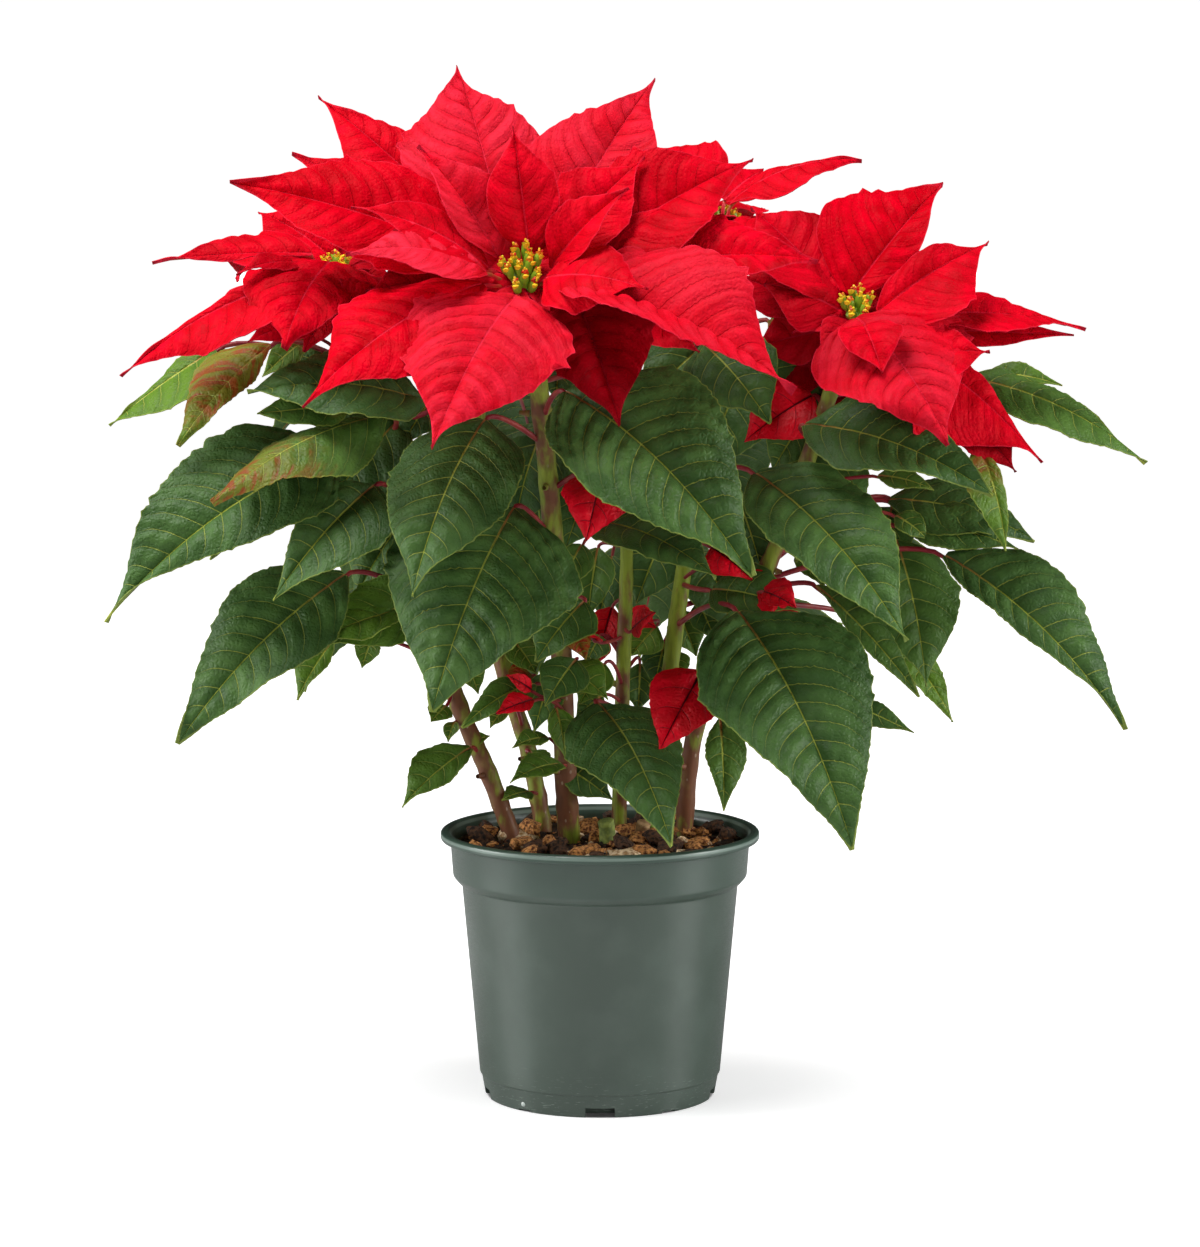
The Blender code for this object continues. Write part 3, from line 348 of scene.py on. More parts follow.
# Leaves that the front view hides, with their bases and tips in millimetres
HIDDEN_LEAVES = {
    "stem_left": [
        (286, (-146, 60, 304), (-212, 116, 268), 50, (-0.45, 0.45, 0.77), 0.12, 4, "leaf"),
        (244, (-112, 48, 262), (-160, 108, 196), 52, (-0.4, 0.55, 0.73), 0.12, 0, "leaf"),
    ],
    "stem_back_left": [
        (372, (-104, 128, 372), (-186, 196, 322), 66, (-0.4, 0.5, 0.77), 0.12, 4, "leaf"),
        (350, (-44, 138, 356), (-34, 222, 276), 68, (0.05, 0.75, 0.66), 0.12, -4, "leaf"),
        (300, (-92, 110, 306), (-140, 182, 232), 62, (-0.3, 0.65, 0.7), 0.12, 4, "leaf"),
        (252, (-48, 92, 258), (-40, 158, 186), 56, (0, 0.75, 0.66), 0.12, 0, "leaf"),
    ],
    "stem_middle": [
        (322, (4, 60, 334), (-22, 112, 300), 44, (-0.2, 0.6, 0.77), 0.1, 0, "leaf"),
        (308, (36, 20, 330), (62, -6, 332), 24, (0.2, -0.5, 0.84), 0.1, 0, "small", (0.7, 0)),
    ],
    "stem_back_right": [
        (366, (98, 118, 372), (176, 184, 318), 66, (0.4, 0.5, 0.77), 0.12, 4, "leaf"),
        (344, (62, 122, 344), (72, 212, 272), 66, (0.05, 0.75, 0.66), 0.12, -4, "leaf"),
        (282, (36, 96, 282), (22, 170, 206), 58, (-0.05, 0.75, 0.66), 0.12, 4, "leaf"),
        (250, (84, 84, 252), (130, 140, 184), 54, (0.35, 0.6, 0.72), 0.12, 0, "leaf"),
    ],
    "stem_right": [
        (322, (144, 58, 336), (206, 112, 298), 52, (0.45, 0.4, 0.8), 0.12, 4, "leaf", (0.06, 0),
         (0.7, 0.7)),
        (276, (126, 60, 290), (186, 124, 226), 58, (0.45, 0.55, 0.7), 0.12, 0, "leaf"),
    ],
}

# Small leaves of the side shoots, which fill the plant inside, in rows as above
SHOOT_LEAVES = {
    "stem_front": [
        (330, (545, 424, 24), (515, 528, 20), 54, (-0.2, -0.8, 0.5), 0.1, 4, "leaf", (0, 0)),
        (372, (592, 382, 4), (652, 470, -14), 46, (0.2, -0.8, 0.5), 0.1, 4, "leaf", (0.1, 0)),
        (262, (584, 602, -12), (536, 662, -30), 36, (-0.2, -0.8, 0.5), 0.08, 10, "leaf", (0.15, 0)),
        (190, (556, 708, -6), (566, 760, -14), 15, (0.2, -0.9, 0.3), 0.1, 14, "small", (0.8, 0)),
        (176, (548, 738, 4), (512, 748, -8), 14, (-0.1, -0.6, 0.8), 0.1, 10, "small", (0.6, 0)),
        (218, (566, 668, 2), (608, 700, -10), 24, (0.3, -0.8, 0.5), 0.1, 16, "small", (0.75, 0.1)),
        (236, (572, 628, 4), (586, 660, -4), 15, (0.1, -0.9, 0.3), 0.1, 20, "small", (0.6, 0.7)),
        (206, (552, 672, 6), (534, 732, -4), 22, (0, -0.9, 0.4), 0.1, 8, "small", (0.1, 0)),
        (150, (566, 768, 8), (612, 800, 0), 22, (0.1, -0.9, 0.5), 0.1, 8, "small", (0.1, 0)),
        (392, (560, 352, 10), (556, 400, 4), 26, (0, -0.9, 0.4), 0.1, 6, "small", (0.1, 0)),
        (200, (533, 700, -38), (496, 714, -48), 14, (-0.1, -0.7, 0.7), 0.06, 10, "small", (0, 1)),
        (206, (531, 690, -34), (506, 675, -42), 10, (-0.1, -0.8, 0.6), 0.06, 10, "small", (0, 1)),
    ],
    "stem_left": [
        (340, (402, 418, 12), (318, 528, 2), 54, (-0.2, -0.8, 0.5), 0.1, 6, "leaf", (0.1, 0)),
        (366, (326, 352, 14), (284, 396, 8), 28, (-0.2, -0.7, 0.6), 0.1, 4, "leaf", (0.1, 0)),
        (236, (466, 662, 2), (478, 694, -4), 14, (0.2, -0.8, 0.5), 0.1, 14, "small", (0.7, 0)),
        (190, (455, 722, 2), (448, 742, -4), 9, (-0.3, -0.8, 0.5), 0.1, 16, "small", (0.5, 0.2)),
        (184, (470, 744, 6), (490, 736, 2), 9, (0.1, -0.8, 0.6), 0.1, 12, "small", (0.7, 0)),
        (310, (362, 470, 20), (312, 548, 14), 36, (-0.2, -0.8, 0.5), 0.1, 0, "leaf", (0.2, 0)),
        (352, (318, 436, -6), (322, 450, -12), 10, (0.1, -0.9, 0.4), 0.1, 16, "small", (0, 1)),
        (362, (350, 406, -30), (257, 414, -44), 26, (0, -0.8, 0.6), 0.02, 6, "leaf", (0.35, 0.2)),
        (244, (424, 598, -8), (322, 646, -26), 42, (0, -0.8, 0.6), 0.06, 4, "leaf", (0.7, 0)),
        (330, (432, 400, 10), (404, 444, 2), 26, (-0.2, -0.9, 0.4), 0.1, 6, "leaf", (0.1, 0)),
        (248, (372, 638, 8), (362, 668, 2), 14, (-0.1, -0.9, 0.4), 0.06, 8, "small", (0.7, 0)),
        (364, (304, 340, 4), (262, 377, -4), 16, (-0.1, -0.9, 0.4), 0.04, 6, "small", (0.7, 0.2)),
    ],
    "stem_back_left": [
        (300, (446, 470, 34), (352, 606, 20), 62, (-0.2, -0.8, 0.5), 0.1, 4, "leaf", (0.15, 0)),
        (212, (532, 676, 10), (506, 690, -2), 18, (0.1, -0.7, 0.7), 0.1, 16, "small", (0.5, 0.7)),
        (186, (506, 708, 8), (490, 728, 2), 10, (-0.2, -0.8, 0.5), 0.1, 14, "small", (0.7, 0)),
        (226, (514, 642, 12), (536, 674, 4), 22, (0.2, -0.8, 0.5), 0.1, 12, "small", (0.7, 0)),
        (172, (530, 752, 16), (548, 776, 8), 14, (0.3, -0.8, 0.5), 0.1, 12, "small", (0.6, 0)),
    ],
    "stem_middle": [
        (292, (662, 538, 66), (636, 604, 60), 34, (0, -0.9, 0.4), 0.08, 8, "leaf", (0.05, 0)),
        (282, (598, 548, 44), (588, 618, 42), 26, (-0.2, -0.9, 0.4), 0.06, 14, "leaf", (0.35, 0)),
        (256, (612, 608, 46), (600, 652, 42), 20, (-0.2, -0.9, 0.3), 0.06, 16, "small", (0, 1)),
        (252, (628, 612, 46), (656, 628, 42), 14, (0.2, -0.9, 0.4), 0.06, 14, "small", (0, 1)),
        (238, (656, 626, 64), (630, 656, 60), 22, (0.1, -0.9, 0.4), 0.06, 10, "small", (0.85, 0)),
        (222, (606, 640, 34), (598, 664, 30), 9, (0, -0.9, 0.4), 0.1, 16, "small", (0, 1)),
        (208, (604, 664, 10), (580, 704, 4), 24, (-0.2, -0.9, 0.4), 0.1, 10, "small", (0.75, 0)),
        (182, (622, 716, 26), (640, 752, 18), 14, (0.2, -0.9, 0.4), 0.1, 10, "small", (0.6, 0)),
        (310, (582, 545, 8), (560, 596, 0), 26, (-0.3, -0.8, 0.4), 0.1, 8, "leaf", (0.3, 0)),
        (314, (590, 486, 14), (566, 548, 8), 32, (-0.1, -0.9, 0.4), 0.1, 6, "leaf", (0.1, 0)),
        (214, (640, 664, 66), (638, 712, 62), 20, (0.1, -0.9, 0.4), 0.06, 8, "small", (0.2, 0)),
        (228, (600, 636, 30), (586, 664, 24), 18, (-0.1, -0.9, 0.4), 0.1, 8, "small", (0.1, 0)),
        (200, (602, 696, 18), (576, 718, 12), 16, (-0.1, -0.9, 0.4), 0.1, 8, "small", (0.3, 0)),
        (298, (612, 556, 74), (600, 618, 70), 30, (-0.1, -0.9, 0.4), 0.04, 6, "leaf", (0.05, 0)),
    ],
    "stem_back_right": [
        (300, (700, 552, 66), (738, 634, 50), 42, (0.2, -0.9, 0.4), 0.08, 6, "leaf", (0.1, 0)),
        (252, (678, 612, 66), (696, 656, 60), 22, (0.1, -0.9, 0.4), 0.06, 14, "small", (0.5, 0)),
        (228, (674, 652, 62), (682, 680, 58), 14, (0.1, -0.9, 0.4), 0.06, 14, "small", (0.7, 0)),
        (262, (712, 590, 10), (800, 612, -18), 34, (0, -0.8, 0.6), 0.1, 8, "leaf", (0.2, 0)),
        (284, (712, 548, 8), (752, 580, -6), 26, (0.1, -0.9, 0.4), 0.1, 10, "small", (0, 1)),
        (372, (745, 368, 54), (702, 476, 40), 54, (0, -0.9, 0.4), 0.1, 4, "leaf", (0.1, 0)),
        (392, (704, 346, 40), (642, 408, 22), 40, (-0.1, -0.9, 0.4), 0.1, 4, "leaf", (0.1, 0)),
        (310, (738, 500, 30), (762, 574, 20), 30, (0.1, -0.9, 0.4), 0.1, 6, "leaf", (0.1, 0)),
        (236, (664, 644, 66), (654, 688, 62), 20, (0, -0.9, 0.4), 0.06, 6, "small", (0.1, 0)),
        (256, (698, 602, 58), (716, 642, 52), 18, (0.1, -0.9, 0.4), 0.06, 6, "small", (0.2, 0)),
    ],
    "stem_right": [
        (336, (846, 436, 24), (796, 562, 14), 44, (-0.1, -0.9, 0.4), 0.1, 4, "leaf", (0.1, 0)),
        (362, (806, 346, 24), (770, 446, 14), 44, (-0.1, -0.9, 0.4), 0.1, 4, "leaf", (0.1, 0)),
        (358, (812, 396, 6), (744, 442, -4), 36, (-0.1, -0.9, 0.4), 0.1, 10, "small", (0, 1)),
        (262, (760, 590, -8), (798, 612, -16), 22, (0, -0.9, 0.5), 0.1, 8, "small", (0, 1)),
        (290, (800, 546, 30), (824, 588, 22), 18, (0.2, -0.9, 0.4), 0.1, 8, "small", (0.6, 0)),
        (300, (892, 508, 30), (872, 568, 20), 32, (0, -0.9, 0.4), 0.1, 6, "leaf", (0.2, 0)),
        (312, (908, 526, 14), (1018, 550, 0), 32, (0.1, -0.7, 0.7), 0.1, 4, "leaf", (0.15, 0)),
        (318, (878, 476, 4), (934, 490, -6), 14, (0.1, -0.8, 0.6), 0.1, 6, "small", (0.5, 0.1)),
        (302, (896, 516, 8), (928, 540, 0), 16, (0.1, -0.8, 0.6), 0.1, 6, "small", (0.3, 0)),
        (364, (985, 374, 12), (1062, 386, 6), 14, (0.1, -0.8, 0.6), 0.1, 6, "small", (0.6, 0)),
        (368, (802, 424, 14), (772, 472, 6), 26, (-0.1, -0.9, 0.4), 0.1, 6, "leaf", (0.1, 0)),
    ],
}

# Bracts of each flower head, all on one hub at the top of its stem. A row is what a Blade holds. The
# tone is how dark the bract is with painted shade, for the shade of others, and how much painted pink
# sheen, the bloom, it has where it faces the light
BRACTS = {
    "bloom_front": [
        ((508, 252, -44), (457, 66, 26), 78, (0.05, -0.72, 0.68), 0.05, 8, "bract", (0, 0.75),
         (1.12, 1.25, 1.12, 0.3)),
        ((498, 256, -52), (418, 146, -52), 36, (0.3, -0.8, 0.5), 0.06, 24, "bract", (0, 0.7)),
        ((529, 252, -50), (513, 127, -46), 38, (0, -0.85, 0.45), 0.06, 18, "bract", (0, 0.1)),
        ((546, 256, -42), (655, 78, 8), 62, (0.1, -0.75, 0.65), 0.06, 6, "bract", (0, 0.6),
         (1.55, 1.05, 0.52, 0.9)),
        ((546, 262, -52), (645, 158, -44), 46, (-0.1, -0.8, 0.6), 0.06, 4, "bract"),
        ((552, 268, -58), (629, 188, -78), 30, (-0.1, -0.8, 0.6), 0.08, 20, "bract"),
        ((566, 272, -52), (753, 159, -36), 66, (-0.1, -0.8, 0.6), 0.06, 10, "bract"),
        ((546, 278, -70), (648, 290, -104), 44, (0.05, -0.8, 0.6), 0.1, -8, "broad", (0, 0.1)),
        ((574, 280, -60), (818, 260, -62), 60, (0.05, -0.7, 0.7), 0.08, 6, "bract"),
        ((560, 290, -70), (794, 392, -128), 76, (0.25, -0.62, 0.74), 0.1, 26, "bract", (0, 0.5)),
        ((516, 296, -74), (432, 449, -146), 82, (-0.05, -0.74, 0.66), 0.1, -6, "broad", (0, 0.6)),
        ((482, 284, -68), (302, 407, -112), 62, (-0.3, -0.76, 0.56), 0.1, -10, "bract", (0.06, 0)),
        ((478, 258, -48), (230, 183, -44), 62, (0.05, -0.78, 0.62), 0.06, 8, "bract", (0, 0)),
        ((488, 268, -60), (351, 207, -78), 30, (0.1, -0.66, 0.74), 0.1, 6, "bract", (0, 0.1)),
        ((486, 272, -66), (346, 254, -100), 38, (0, -0.62, 0.78), 0.12, -4, "bract", (0, 1)),
        ((484, 252, -36), (319, 99, 10), 56, (0.05, -0.78, 0.62), 0.06, 6, "bract", (0, 0.08),
         (1, 1, 1, 0.5)),
        ((578, 304, -62), (620, 425, -106), 58, (0.05, -0.84, 0.52), 0.08, 8, "broad", (0.75, 0.08)),
    ],
    "bloom_left": [
        ((312, 254, -8), (152, 262, -12), 40, (-0.05, -0.62, 0.78), 0.03, 0, "bract", (0, 0.08),
         (0.25, 1.28, 0.15, 0.05)),
        ((330, 262, -20), (284, 349, -62), 74, (-0.2, -0.82, 0.54), 0.12, -8, "broad", (0.15, 0)),
        ((306, 278, -18), (122, 377, -38), 44, (-0.2, -0.72, 0.66), 0.1, 4, "bract", (0, 0.08),
         (1.45, 0.4, 1, 0.05)),
        ((310, 266, -14), (236, 274, -40), 30, (-0.2, -0.6, 0.77), 0.1, 0, "small", (0.3, 0.08),
         (0.6, 0.6)),
    ],
    "bloom_right": [
        ((850, 296, -16), (943, 183, 26), 68, (0, -0.8, 0.6), 0.06, 8, "bract", (0, 0),
         (1.3, 0.6, 0.75, 0.3)),
        ((878, 312, -26), (988, 243, -16), 46, (0, -0.78, 0.62), 0.08, 12, "bract", (0, 0.08), (0.55, 1.4)),
        ((890, 322, -18), (1085, 331, -16), 36, (0.1, -0.45, 0.88), 0.08, 10, "bract", (0, 0.08),
         (0.9, 1.4, 0.6, 1.4)),
        ((856, 318, -34), (949, 445, -84), 78, (0.1, -0.78, 0.6), 0.12, -8, "broad", (0, 0.5),
         (1.2, 1, 0.95, 1)),
        ((864, 326, -50), (882, 373, -76), 34, (0, -0.8, 0.6), 0.1, 16, "small", (0, 0.1)),
        ((840, 300, -14), (751, 209, 22), 54, (0.2, -0.8, 0.55), 0.06, 6, "bract", (0.15, 0.08)),
        ((842, 312, -18), (764, 284, -10), 42, (0, -0.78, 0.62), 0.1, -6, "small", (0.35, 0.08)),
        ((880, 334, -12), (1041, 463, -30), 50, (0.25, -0.75, 0.6), 0.1, 0, "bract", (0, 0.08),
         (0.4, 1.4, 0.4, 1.8)),
        ((838, 340, 10), (790, 464, 32), 40, (-0.25, -0.85, 0.4), 0.08, 0, "bract", (0.7, 0.08)),
    ],
    "bloom_back_right": [
        ((730, 204, 62), (862, 160, 40), 40, (-0.1, -0.5, 0.85), 0.12, -14, "bract", (0, 0.08),
         (0.5, 0.35, 0.1, 1.5)),
        ((712, 202, 64), (650, 146, 92), 50, (0.05, -0.8, 0.6), 0.08, 0, "bract"),
        ((724, 200, 66), (763, 171, 92), 28, (0, -0.8, 0.6), 0.08, 0, "small"),
    ],
}

# Bracts that the front view hides, with their bases and tips in millimetres
HIDDEN_BRACTS = {
    "bloom_left": [
        ((-150, 8, 430), (-192, 72, 420), 46, (-0.35, 0.2, 0.9), 0.14, 0, "bract"),
        ((-138, 14, 432), (-160, 92, 410), 48, (-0.1, 0.3, 0.94), 0.14, 0, "bract"),
        ((-126, 8, 432), (-96, 44, 428), 36, (0.2, 0.2, 0.95), 0.14, 0, "small"),
        ((-121, -22, 424), (-106, -54, 408), 34, (0.2, -0.5, 0.84), 0.14, 0, "small", (0.3, 0.08)),
    ],
    "bloom_right": [
        ((142, 2, 404), (196, 66, 404), 48, (0.25, 0.1, 0.95), 0.14, 0, "bract"),
        ((128, 6, 404), (136, 84, 396), 50, (0, 0.25, 0.96), 0.14, 0, "bract"),
    ],
    "bloom_back_right": [
        ((74, 64, 452), (112, 22, 430), 42, (0.4, -0.5, 0.77), 0.12, 0, "small"),
        ((78, 78, 450), (150, 108, 424), 54, (0.35, 0.1, 0.93), 0.04, 0, "bract"),
        ((74, 86, 452), (124, 168, 424), 58, (0.2, 0.35, 0.91), 0.05, 4, "bract"),
        ((62, 88, 456), (58, 180, 430), 58, (0, 0.35, 0.93), 0.14, -4, "bract"),
        ((54, 80, 458), (2, 140, 450), 50, (-0.2, 0.25, 0.94), 0.14, 4, "bract"),
    ],
    "bloom_back_left": [
        ((-72, 96, 440), (-166, 110, 440), 56, (-0.25, 0, 0.96), 0.1, 4, "bract"),
        ((-68, 102, 440), (-136, 172, 420), 60, (-0.25, 0.3, 0.92), 0.14, -4, "bract"),
        ((-58, 106, 440), (-70, 204, 412), 60, (-0.05, 0.35, 0.93), 0.14, 4, "bract"),
        ((-52, 100, 440), (-8, 170, 424), 54, (0.2, 0.3, 0.92), 0.14, -4, "bract"),
        ((-50, 90, 442), (20, 84, 448), 44, (0.15, 0, 0.98), 0.14, 0, "bract"),
        ((-60, 82, 442), (-48, 22, 452), 40, (0, -0.2, 0.98), 0.14, 0, "bract"),
        ((-72, 86, 440), (-132, 52, 446), 44, (-0.2, -0.2, 0.95), 0.14, 0, "bract"),
    ],
}

# Small bracts behind the others, which fill the flower heads where they meet
EXTRA_BRACTS = {
    "bloom_front": [
        ((420, 232, 10), (292, 154, 16), 34, (0.05, -0.78, 0.62), 0.06, 6, "bract"),
        ((478, 288, -34), (366, 292, -50), 40, (-0.1, -0.7, 0.7), 0.08, 6, "bract", (0.5, 0.08)),
        ((600, 300, -30), (700, 352, -36), 40, (0.1, -0.7, 0.7), 0.08, 6, "bract"),
        ((530, 296, -32), (606, 342, -46), 34, (0.05, -0.8, 0.6), 0.04, 4, "small", (0.4, 0.08)),
    ],
    "bloom_left": [
        ((336, 262, 6), (258, 212, 22), 32, (-0.1, -0.7, 0.7), 0.1, 10, "bract", (0, 0.08), (1.5, 1)),
        ((346, 292, -10), (304, 352, -24), 28, (-0.1, -0.8, 0.5), 0.1, 10, "small"),
        ((322, 312, -10), (248, 342, -24), 24, (-0.1, -0.8, 0.5), 0.04, 4, "small"),
    ],
    "bloom_right": [
        ((812, 312, 8), (736, 276, 16), 34, (0, -0.8, 0.6), 0.08, 8, "bract", (0.5, 0.08)),
        ((930, 380, -6), (984, 446, -22), 40, (0.2, -0.8, 0.5), 0.1, 6, "bract"),
        ((900, 328, -8), (1074, 335, -16), 20, (0.1, -0.8, 0.6), 0, 4, "bract"),
        ((948, 400, -22), (1016, 472, -34), 34, (0.2, -0.8, 0.5), 0.06, 6, "bract", (0.6, 0.08)),
        ((836, 350, 20), (738, 400, 30), 40, (-0.1, -0.8, 0.5), 0.1, 6, "bract", (0.55, 0.08)),
        ((836, 328, 6), (750, 350, 14), 36, (0, -0.8, 0.6), 0.04, 4, "small", (0.5, 0.08)),
        ((905, 352, -44), (990, 352, -58), 42, (0.1, -0.8, 0.6), 0.03, 4, "broad", (0, 0.08), (0.6, 1.3)),
    ],
}


def hex_colour(text):
    """An sRGB hex colour as linear red, green, blue and alpha."""
    parts = [int(text[start:start + 2], 16) / 255 for start in (1, 3, 5)]
    linear = [part / 12.92 if part <= 0.04045 else ((part + 0.055) / 1.055) ** 2.4 for part in parts]
    return (*linear, 1.0)


def colour_setting(name, description, text):
    """A colour that the user can change, with its sRGB hex default."""
    return FloatVectorProperty(
        name=name, description=description, size=4, subtype="COLOR", default=hex_colour(text))


class BladeSettings(PropertyGroup):
    """Sizes that leaves and bracts share."""

    thickness: FloatProperty(
        name="Thickness", description="Thickness of a leaf or bract", default=0.5 * MM, unit="LENGTH")
    leaf_pucker: FloatProperty(
        name="Leaf pucker", description="How far a leaf swells between its veins, as a share of its width",
        default=0.042, subtype="FACTOR")
    bract_pucker: FloatProperty(
        name="Bract pucker", description="How far a bract swells between its veins, as a share of its width",
        default=0.042, subtype="FACTOR")
    roll: FloatProperty(
        name="Roll", description="Slow rise and fall of each half of a blade, as a share of its width",
        default=0.020, subtype="FACTOR")
    crown: FloatProperty(
        name="Crown", description="Rise of each half between midrib and margin, as a share of its width",
        default=0.045, subtype="FACTOR")
    ripple: FloatProperty(
        name="Ripple", description="Fine waves along the margin, as a share of the width",
        default=0.011, subtype="FACTOR")
    lobes: FloatProperty(
        name="Lobes", description="Reach of a bract's angular lobes, as a share of its half-width",
        default=0.16, subtype="FACTOR")
    teeth: FloatProperty(
        name="Teeth", description="Reach of a leaf's shallow lobes, as a share of its half-width",
        default=0.07, subtype="FACTOR")
    saw: FloatProperty(
        name="Saw edge", description="Reach of the fine teeth along a leaf's margin", default=0.3 * MM,
        unit="LENGTH")
    centre_bracts: IntProperty(
        name="Centre bracts", description="Small bracts round each cluster of urns", default=9)
    row_length: FloatProperty(
        name="Row length", description="Length of a blade's faces along the midrib", default=1.7 * MM,
        unit="LENGTH")
    column_width: FloatProperty(
        name="Column width", description="Width of a blade's faces", default=3.4 * MM, unit="LENGTH")
    vein_spacing: FloatProperty(
        name="Vein spacing", description="Midrib length from one side vein to the next", default=11 * MM,
        unit="LENGTH")


class LeafColours(PropertyGroup):
    """Colours of the green leaves."""

    green: colour_setting("Green", "Grown leaf", "#507238")
    deep: colour_setting("Deep green", "Darker cloudy patches of a grown leaf", "#365428")
    young: colour_setting("Young green", "Young leaf", "#5A7C1E")
    vein: colour_setting("Vein", "Midrib, side veins and margin", "#A6B04A")
    under: colour_setting("Underside", "Underside of a leaf", "#5E7C46")


class BractColours(PropertyGroup):
    """Colours of the red bracts."""

    red: colour_setting("Red", "Bract", "#E60020")
    # deep red also paints shade in the valleys by the side veins and beside the soft ridges
    deep: colour_setting("Deep red", "Darker cloudy patches", "#B80010")
    vein: colour_setting("Vein", "Midrib and margin", "#EC3450")
    # the bloom is a painted pink sheen, the highlight of bracts that face the light, not a powder on them
    bloom: colour_setting("Bloom", "Pale powdery bloom", "#E22C42")
    groove: colour_setting("Groove", "Side veins, which lie in grooves", "#98000C")
    under: colour_setting("Underside", "Underside of a bract", "#C8142E")


class StemSettings(PropertyGroup):
    """Sizes and colours of the stems."""

    swelling: FloatProperty(
        name="Swelling", description="How far a stem swells at a leaf scar", default=0.5 * MM, unit="LENGTH")
    node_spacing: FloatProperty(
        name="Node spacing", description="Stem length from one leaf scar to the next", default=19 * MM,
        unit="LENGTH")
    bark: colour_setting("Bark", "Old bark", "#784C34")
    green: colour_setting("Green stem", "Young stem", "#8C9C34")
    petiole: colour_setting("Petiole", "Leaf stalk", "#86202C")


class PotSettings(PropertyGroup):
    """Sizes and colours of the pot and its soil."""

    sides: IntProperty(name="Sides", description="Faces round the pot", default=128)
    plastic: colour_setting("Plastic", "Moulded plastic", "#404F45")
    chips: IntProperty(name="Bark chips", description="Bark chips on the soil", default=150)
    crumbs: IntProperty(name="Crumbs", description="Peat crumbs on the soil", default=700)
    soil: colour_setting("Soil", "Dark peat", "#3E2916")
    chip: colour_setting("Bark chip", "Pine bark", "#DE9A56")


class StudioSettings(PropertyGroup):
    """The backdrop and the lights."""

    backdrop: colour_setting("Backdrop", "Colour of the backdrop", "#FFFFFF")
    room_light: FloatProperty(
        name="Room light", description="Strength of the light from all round", default=0.03)
    key_power: FloatProperty(
        name="Key light", description="Power of the large softbox overhead", default=38.0, unit="POWER")
    side_power: FloatProperty(
        name="Side light", description="Power of each softbox beside the plant", default=25.0, unit="POWER")
    front_power: FloatProperty(
        name="Front light", description="Power of the low light in front", default=14.0, unit="POWER")
    back_power: FloatProperty(
        name="Back light", description="Power of the lit backdrop behind the plant", default=16.0,
        unit="POWER")


def fill(socket, value):
    """Link the input to another node's output, or give it its value; a hex colour is turned to linear."""
    if isinstance(value, bpy.types.NodeSocket):
        socket.id_data.links.new(value, socket)
    elif isinstance(value, str):
        socket.default_value = hex_colour(value)
    elif value is not None:
        socket.default_value = value


# What every node of a kind is set to: a mix is one of colours, and a map from one range to another is smooth
USUAL = {"Mix": {"data_type": "RGBA"}, "MapRange": {"interpolation_type": "SMOOTHSTEP"}}


def node(tree, kind, *values, **settings):
    """Add a shader node with its settings, fill its open inputs in order, and return its first output.

    None leaves an input as it is."""
    made = tree.nodes.new("ShaderNode" + kind)
    for name, value in {**USUAL.get(kind, {}), **settings}.items():
        setattr(made, name, value)
    for socket, value in zip([item for item in made.inputs if item.enabled], values):
        fill(socket, value)
    return next((item for item in made.outputs if item.enabled), None)


def new_material(name):
    """A new material of that name, and its node tree."""
    made = bpy.data.materials.new(name)
    made.use_nodes = True
    return made, made.node_tree


def set_shader(tree, **inputs):
    """Give the tree's Principled shader these inputs."""
    for name, value in inputs.items():
        fill(tree.nodes["Principled BSDF"].inputs[name.replace("_", " ")], value)


# Settings of the sums that the materials use most
ADD = {"operation": "ADD"}
TIMES = {"operation": "MULTIPLY"}
MINUS = {"operation": "SUBTRACT"}
LARGER = {"operation": "MAXIMUM"}
SIZE_OF = {"operation": "ABSOLUTE"}
# How far it is to the nearest whole number, where the side veins run
TO_VEIN = {"operation": "PINGPONG"}


def place_in(tree, stretch=(1.0, 1.0, 1.0)):
    """The point in the object's own metres, stretched along its axes."""
    place = node(tree, "TexCoord").node.outputs["Object"]
    return node(tree, "Mapping", place, None, None, stretch)


def grain(tree, size, detail=3.0, stretch=(1.0, 1.0, 1.0)):
    """Cloudy noise with features of about this size."""
    return node(tree, "TexNoise", place_in(tree, stretch), 1 / size, detail)


def values_of(tree, name):
    """The three values that a blade's mesh holds under this name."""
    found = node(tree, "Attribute", attribute_name=name).node.outputs["Vector"]
    return node(tree, "SeparateXYZ", found).node.outputs[:3]


def layered(tree, ground, *layers):
    """The ground colour with each layer laid over it: where it shows, how strongly, and its colour."""
    for where, strength, colour in layers:
        if strength != 1:
            where = node(tree, "Math", where, strength, **TIMES)
        ground = node(tree, "Mix", where, ground, colour)
    return ground


def vein_lines(tree, width):
    """How much each point is of a side vein, of the midrib and of the thin rim of the margin."""
    along, across, veins = values_of(tree, "growth")
    from_midrib, spacing, half = values_of(tree, "size")
    away = node(tree, "Math", node(tree, "Math", veins, 0.5, **TO_VEIN), spacing, **TIMES)
    side = node(tree, "MapRange", away, width * 0.2, width, 1, 0)
    outward = node(tree, "Math", across, **SIZE_OF)
    # side veins fade towards the margin and just before the tip
    for where, low, high, least in ((outward, 0.35, 0.97, 0.1), (along, 0.86, 0.96, 0)):
        side = node(tree, "Math", side, node(tree, "MapRange", where, low, high, 1, least), **TIMES)
    # the midrib grows slimmer towards the tip
    slimming = node(tree, "Math", from_midrib, node(tree, "Math", 1.25, along, **MINUS), operation="DIVIDE")
    rib = node(tree, "MapRange", slimming, width * 0.8, width * 1.7, 1, 0)
    margin = node(tree, "MapRange", node(tree, "Math", half, from_midrib, **MINUS), 0.25, 0.7, 1, 0)
    return side, rib, margin


